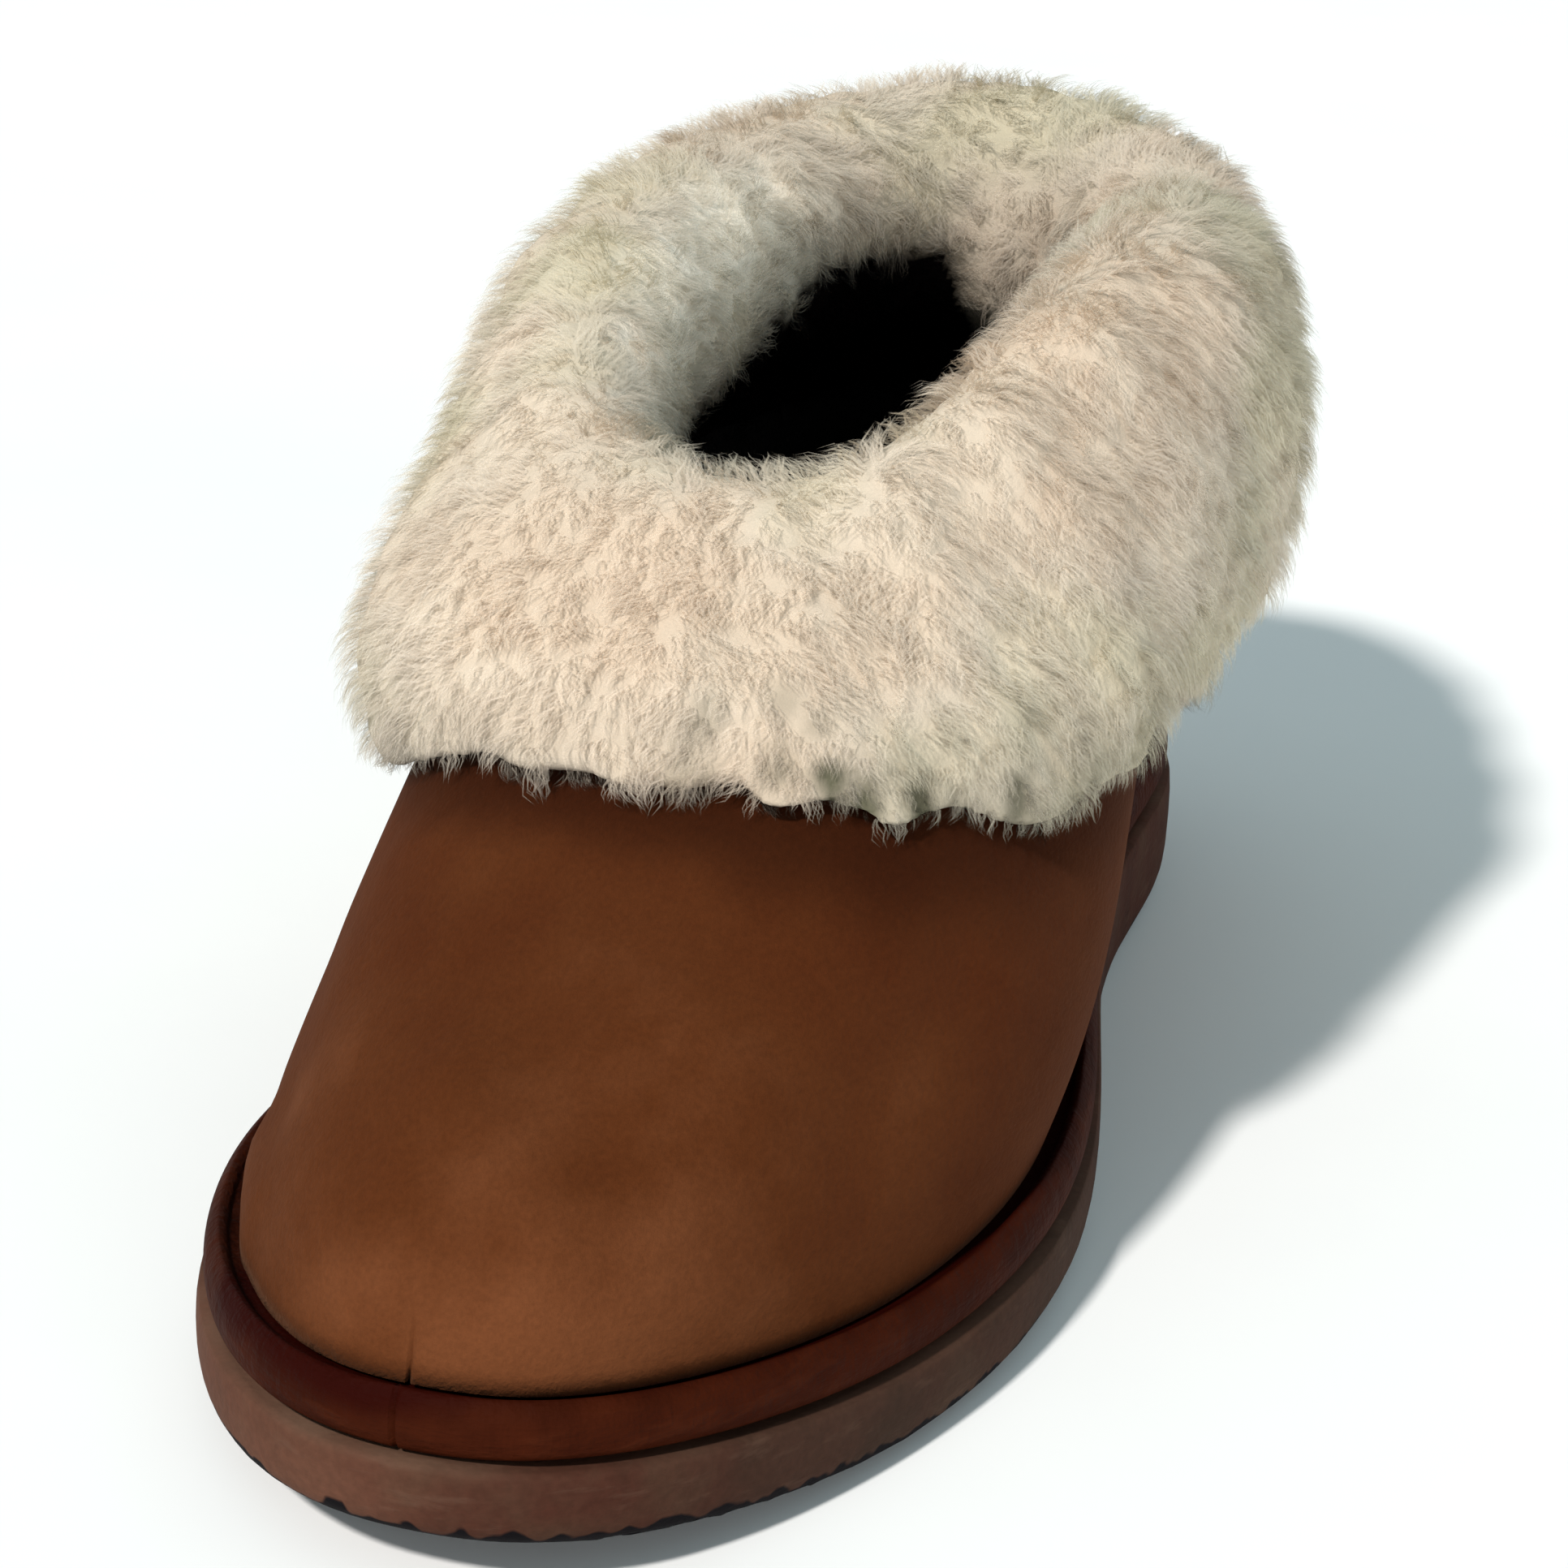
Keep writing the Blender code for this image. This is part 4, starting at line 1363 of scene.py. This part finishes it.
def fibre_steps(number, fibre):
    """How far along each step is, with the one or two places across the ribbon there."""
    across, forward, length, crimp, phase, roll_deg = (
        low + (high - low) * chance(number, fibre, what)
        for what, (low, high) in enumerate(PICKS, 1))
    place = Vector((across, forward, 0)) * LOCK_SPREAD
    gather = -place.x / LOCK_LENGTH * GATHER
    long, roll = LOCK_LENGTH * length, math.radians(roll_deg)
    for step in range(FIBRE_STEPS + 1):
        t = step / FIBRE_STEPS
        arch = math.radians(RISE_DEG + (FALL_DEG - RISE_DEG) * t)
        sideways = gather + crimp * math.cos(phase + math.tau * t)
        heading = Vector((sideways, math.sin(arch), math.cos(arch))).normalized()
        face = Vector((math.sin(roll), math.cos(roll) * math.cos(arch), -math.sin(arch)))
        side = heading.cross(face).normalized()
        half = side * FIBRE_WIDTH / 2 * (1.0 - TIP_NARROWING * t * t)
        yield t, [place] if step == FIBRE_STEPS else [place - half, place + half]
        place = place + heading * long / FIBRE_STEPS


def make_lock(number):
    """Fibres that rise along +Z and face +Y, arch over, and end curled towards the skin."""
    shape = bmesh.new()
    along = shape.verts.layers.float.new("along")
    for fibre in range(FIBRES_IN_A_LOCK):
        rows = []
        for t, places in fibre_steps(number, fibre):
            rows.append([shape.verts.new(p) for p in places])
            for vert in rows[-1]:
                vert[along] = t
        for low, high in zip(rows, rows[1:]):
            shape.faces.new((*low, *reversed(high))).smooth = True
    shape.normal_update()
    data = bpy.data.meshes.new(f"lock_{number}")
    closed(shape, data)
    data.materials.append(cream_wool)
    return bpy.data.objects.new(f"lock_{number}", data)


locks = bpy.data.collections.new("locks")
for number in range(LOCK_KINDS):
    locks.objects.link(make_lock(number))

# %% [markdown]
# Planting
#
# Geometry nodes scatter points over the body, turn a lock along the wool's
# direction at each one, and make the copies real. The fibres are then given the
# skin's direction as their own normals, so that light falls on them as on the
# whole cuff.

# %% Planting tree
SMALLEST_LOCK, LARGEST_LOCK = 0.75, 1.15
SIZE_SEED, TINT_SEED = 2, 3  # added to a part's own seed


def named(tree, name, kind="FLOAT"):
    return node(tree, "GeometryNodeInputNamedAttribute", {"Name": name}, data_type=kind).outputs[0]


def picked(tree, low, high, seed):
    links = {2: low, 3: high, "Seed": seed}
    return node(tree, "FunctionNodeRandomValue", links, data_type="FLOAT").outputs[1]


def scattered(tree, mesh, density, seed):
    """Points all over the mesh, as dense as its wool is thick, each with a tint of its own."""
    dense = worked_out(tree, "MULTIPLY", named(tree, "thick"), density)
    points = node(tree, "GeometryNodeDistributePointsOnFaces", {
        "Mesh": mesh, "Density": dense, "Seed": seed}, distribute_method="RANDOM").outputs[0]
    tint = picked(tree, 0.0, 1.0, seed + TINT_SEED)
    return node(tree, "GeometryNodeStoreNamedAttribute", {
        "Geometry": points, "Name": "tint", "Value": tint}, data_type="FLOAT",
        domain="POINT").outputs[0]


def planting_tree(name, seed, density):
    tree = bpy.data.node_groups.new(name, "GeometryNodeTree")
    for way in ("INPUT", "OUTPUT"):
        tree.interface.new_socket("Geometry", in_out=way, socket_type="NodeSocketGeometry")
    points = scattered(tree, node(tree, "NodeGroupInput").outputs[0], density, seed)
    lean, skin = named(tree, "lean", "FLOAT_VECTOR"), named(tree, "skin", "FLOAT_VECTOR")
    turned = node(tree, "FunctionNodeAlignRotationToVector", {"Vector": lean}, axis="Z").outputs[0]
    faced = node(tree, "FunctionNodeAlignRotationToVector", {"Rotation": turned, "Vector": skin},
                 axis="Y", pivot_axis="Z").outputs[0]
    grown = picked(tree, SMALLEST_LOCK, LARGEST_LOCK, seed + SIZE_SEED)
    size = worked_out(tree, "MULTIPLY", grown, named(tree, "reach"))
    source = node(tree, "GeometryNodeCollectionInfo", {0: locks, 1: True, 2: True}).outputs[0]
    planted = node(tree, "GeometryNodeInstanceOnPoints", {
        "Points": points, "Instance": source, "Pick Instance": True, "Rotation": faced,
        "Scale": size}).outputs[0]
    real = node(tree, "GeometryNodeRealizeInstances", {0: planted}).outputs[0]
    soft = node(tree, "GeometryNodeSetMeshNormal", mode="FREE", domain="POINT")
    tree.links.new(real, soft.inputs["Mesh"])
    tree.links.new(skin, soft.inputs["Custom Normal"])
    node(tree, "NodeGroupOutput", {0: soft.outputs[0]})
    return tree


print("lock sizes from and to", (SMALLEST_LOCK, LARGEST_LOCK))

# %% [markdown]
# The cuff in parts
#
# The cuff is planted in six parts round the collar, so that no piece grows too
# heavy. The body under them stands in for the cuff's solid.

# %% Planting
LOCKS_IN_ALL = 21000
PARTS = ("front", "outer_front", "outer_back", "heel", "inner_back", "inner_front")
FIRST_SEED, SEED_STEP = 3, 10


def part_share(p, number):
    """1 where the place belongs to that part of the cuff, and 0 elsewhere."""
    angle = math.atan2(p.x - COLLAR_MIDDLE.x, -(p.y - COLLAR_MIDDLE.y)) % math.tau
    wedge = math.tau / len(PARTS)
    return 1.0 if int((angle + wedge / 2) // wedge) % len(PARTS) == number else 0.0


def planted_area(data):
    """Area of the body, each face counted by how thick its wool is."""
    thick = [entry.value for entry in data.attributes["thick"].data]
    return sum(face.area * thick[face.vertices[0]] for face in data.polygons)


def plant(name, number, density):
    data = body.data.copy()
    for vert, entry in zip(data.vertices, data.attributes["thick"].data):
        entry.value *= part_share(vert.co, number)
    piece = put_in_scene(name, data)
    planter = piece.modifiers.new("planting", "NODES")
    planter.node_group = planting_tree(name + "_nodes", FIRST_SEED + SEED_STEP * number, density)
    settled(piece)
    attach(piece, ROOT)
    return piece


density = LOCKS_IN_ALL / planted_area(body.data)
for number, part in enumerate(PARTS):
    piece = plant("wool_" + part, number, density)
    print(piece.name, "triangles", sum(len(f.vertices) - 2 for f in piece.data.polygons))
body.data.materials.clear()
body.data.materials.append(underfleece)
body.data.polygons.foreach_set("use_smooth", [True] * len(body.data.polygons))
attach(body, ROOT)
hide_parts("cuff")

# %% [markdown]
# Sizes, and the end
#
# The size of the solids and of the dressed slipper are written down side by
# side, because wool that strays too far from its solid would touch what stands
# next to it.

# %% Sizes, and the end
dressed_box = [list(corner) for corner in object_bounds()]
print("dressed box, mm:", [[round(c / MM, 1) for c in corner] for corner in dressed_box])
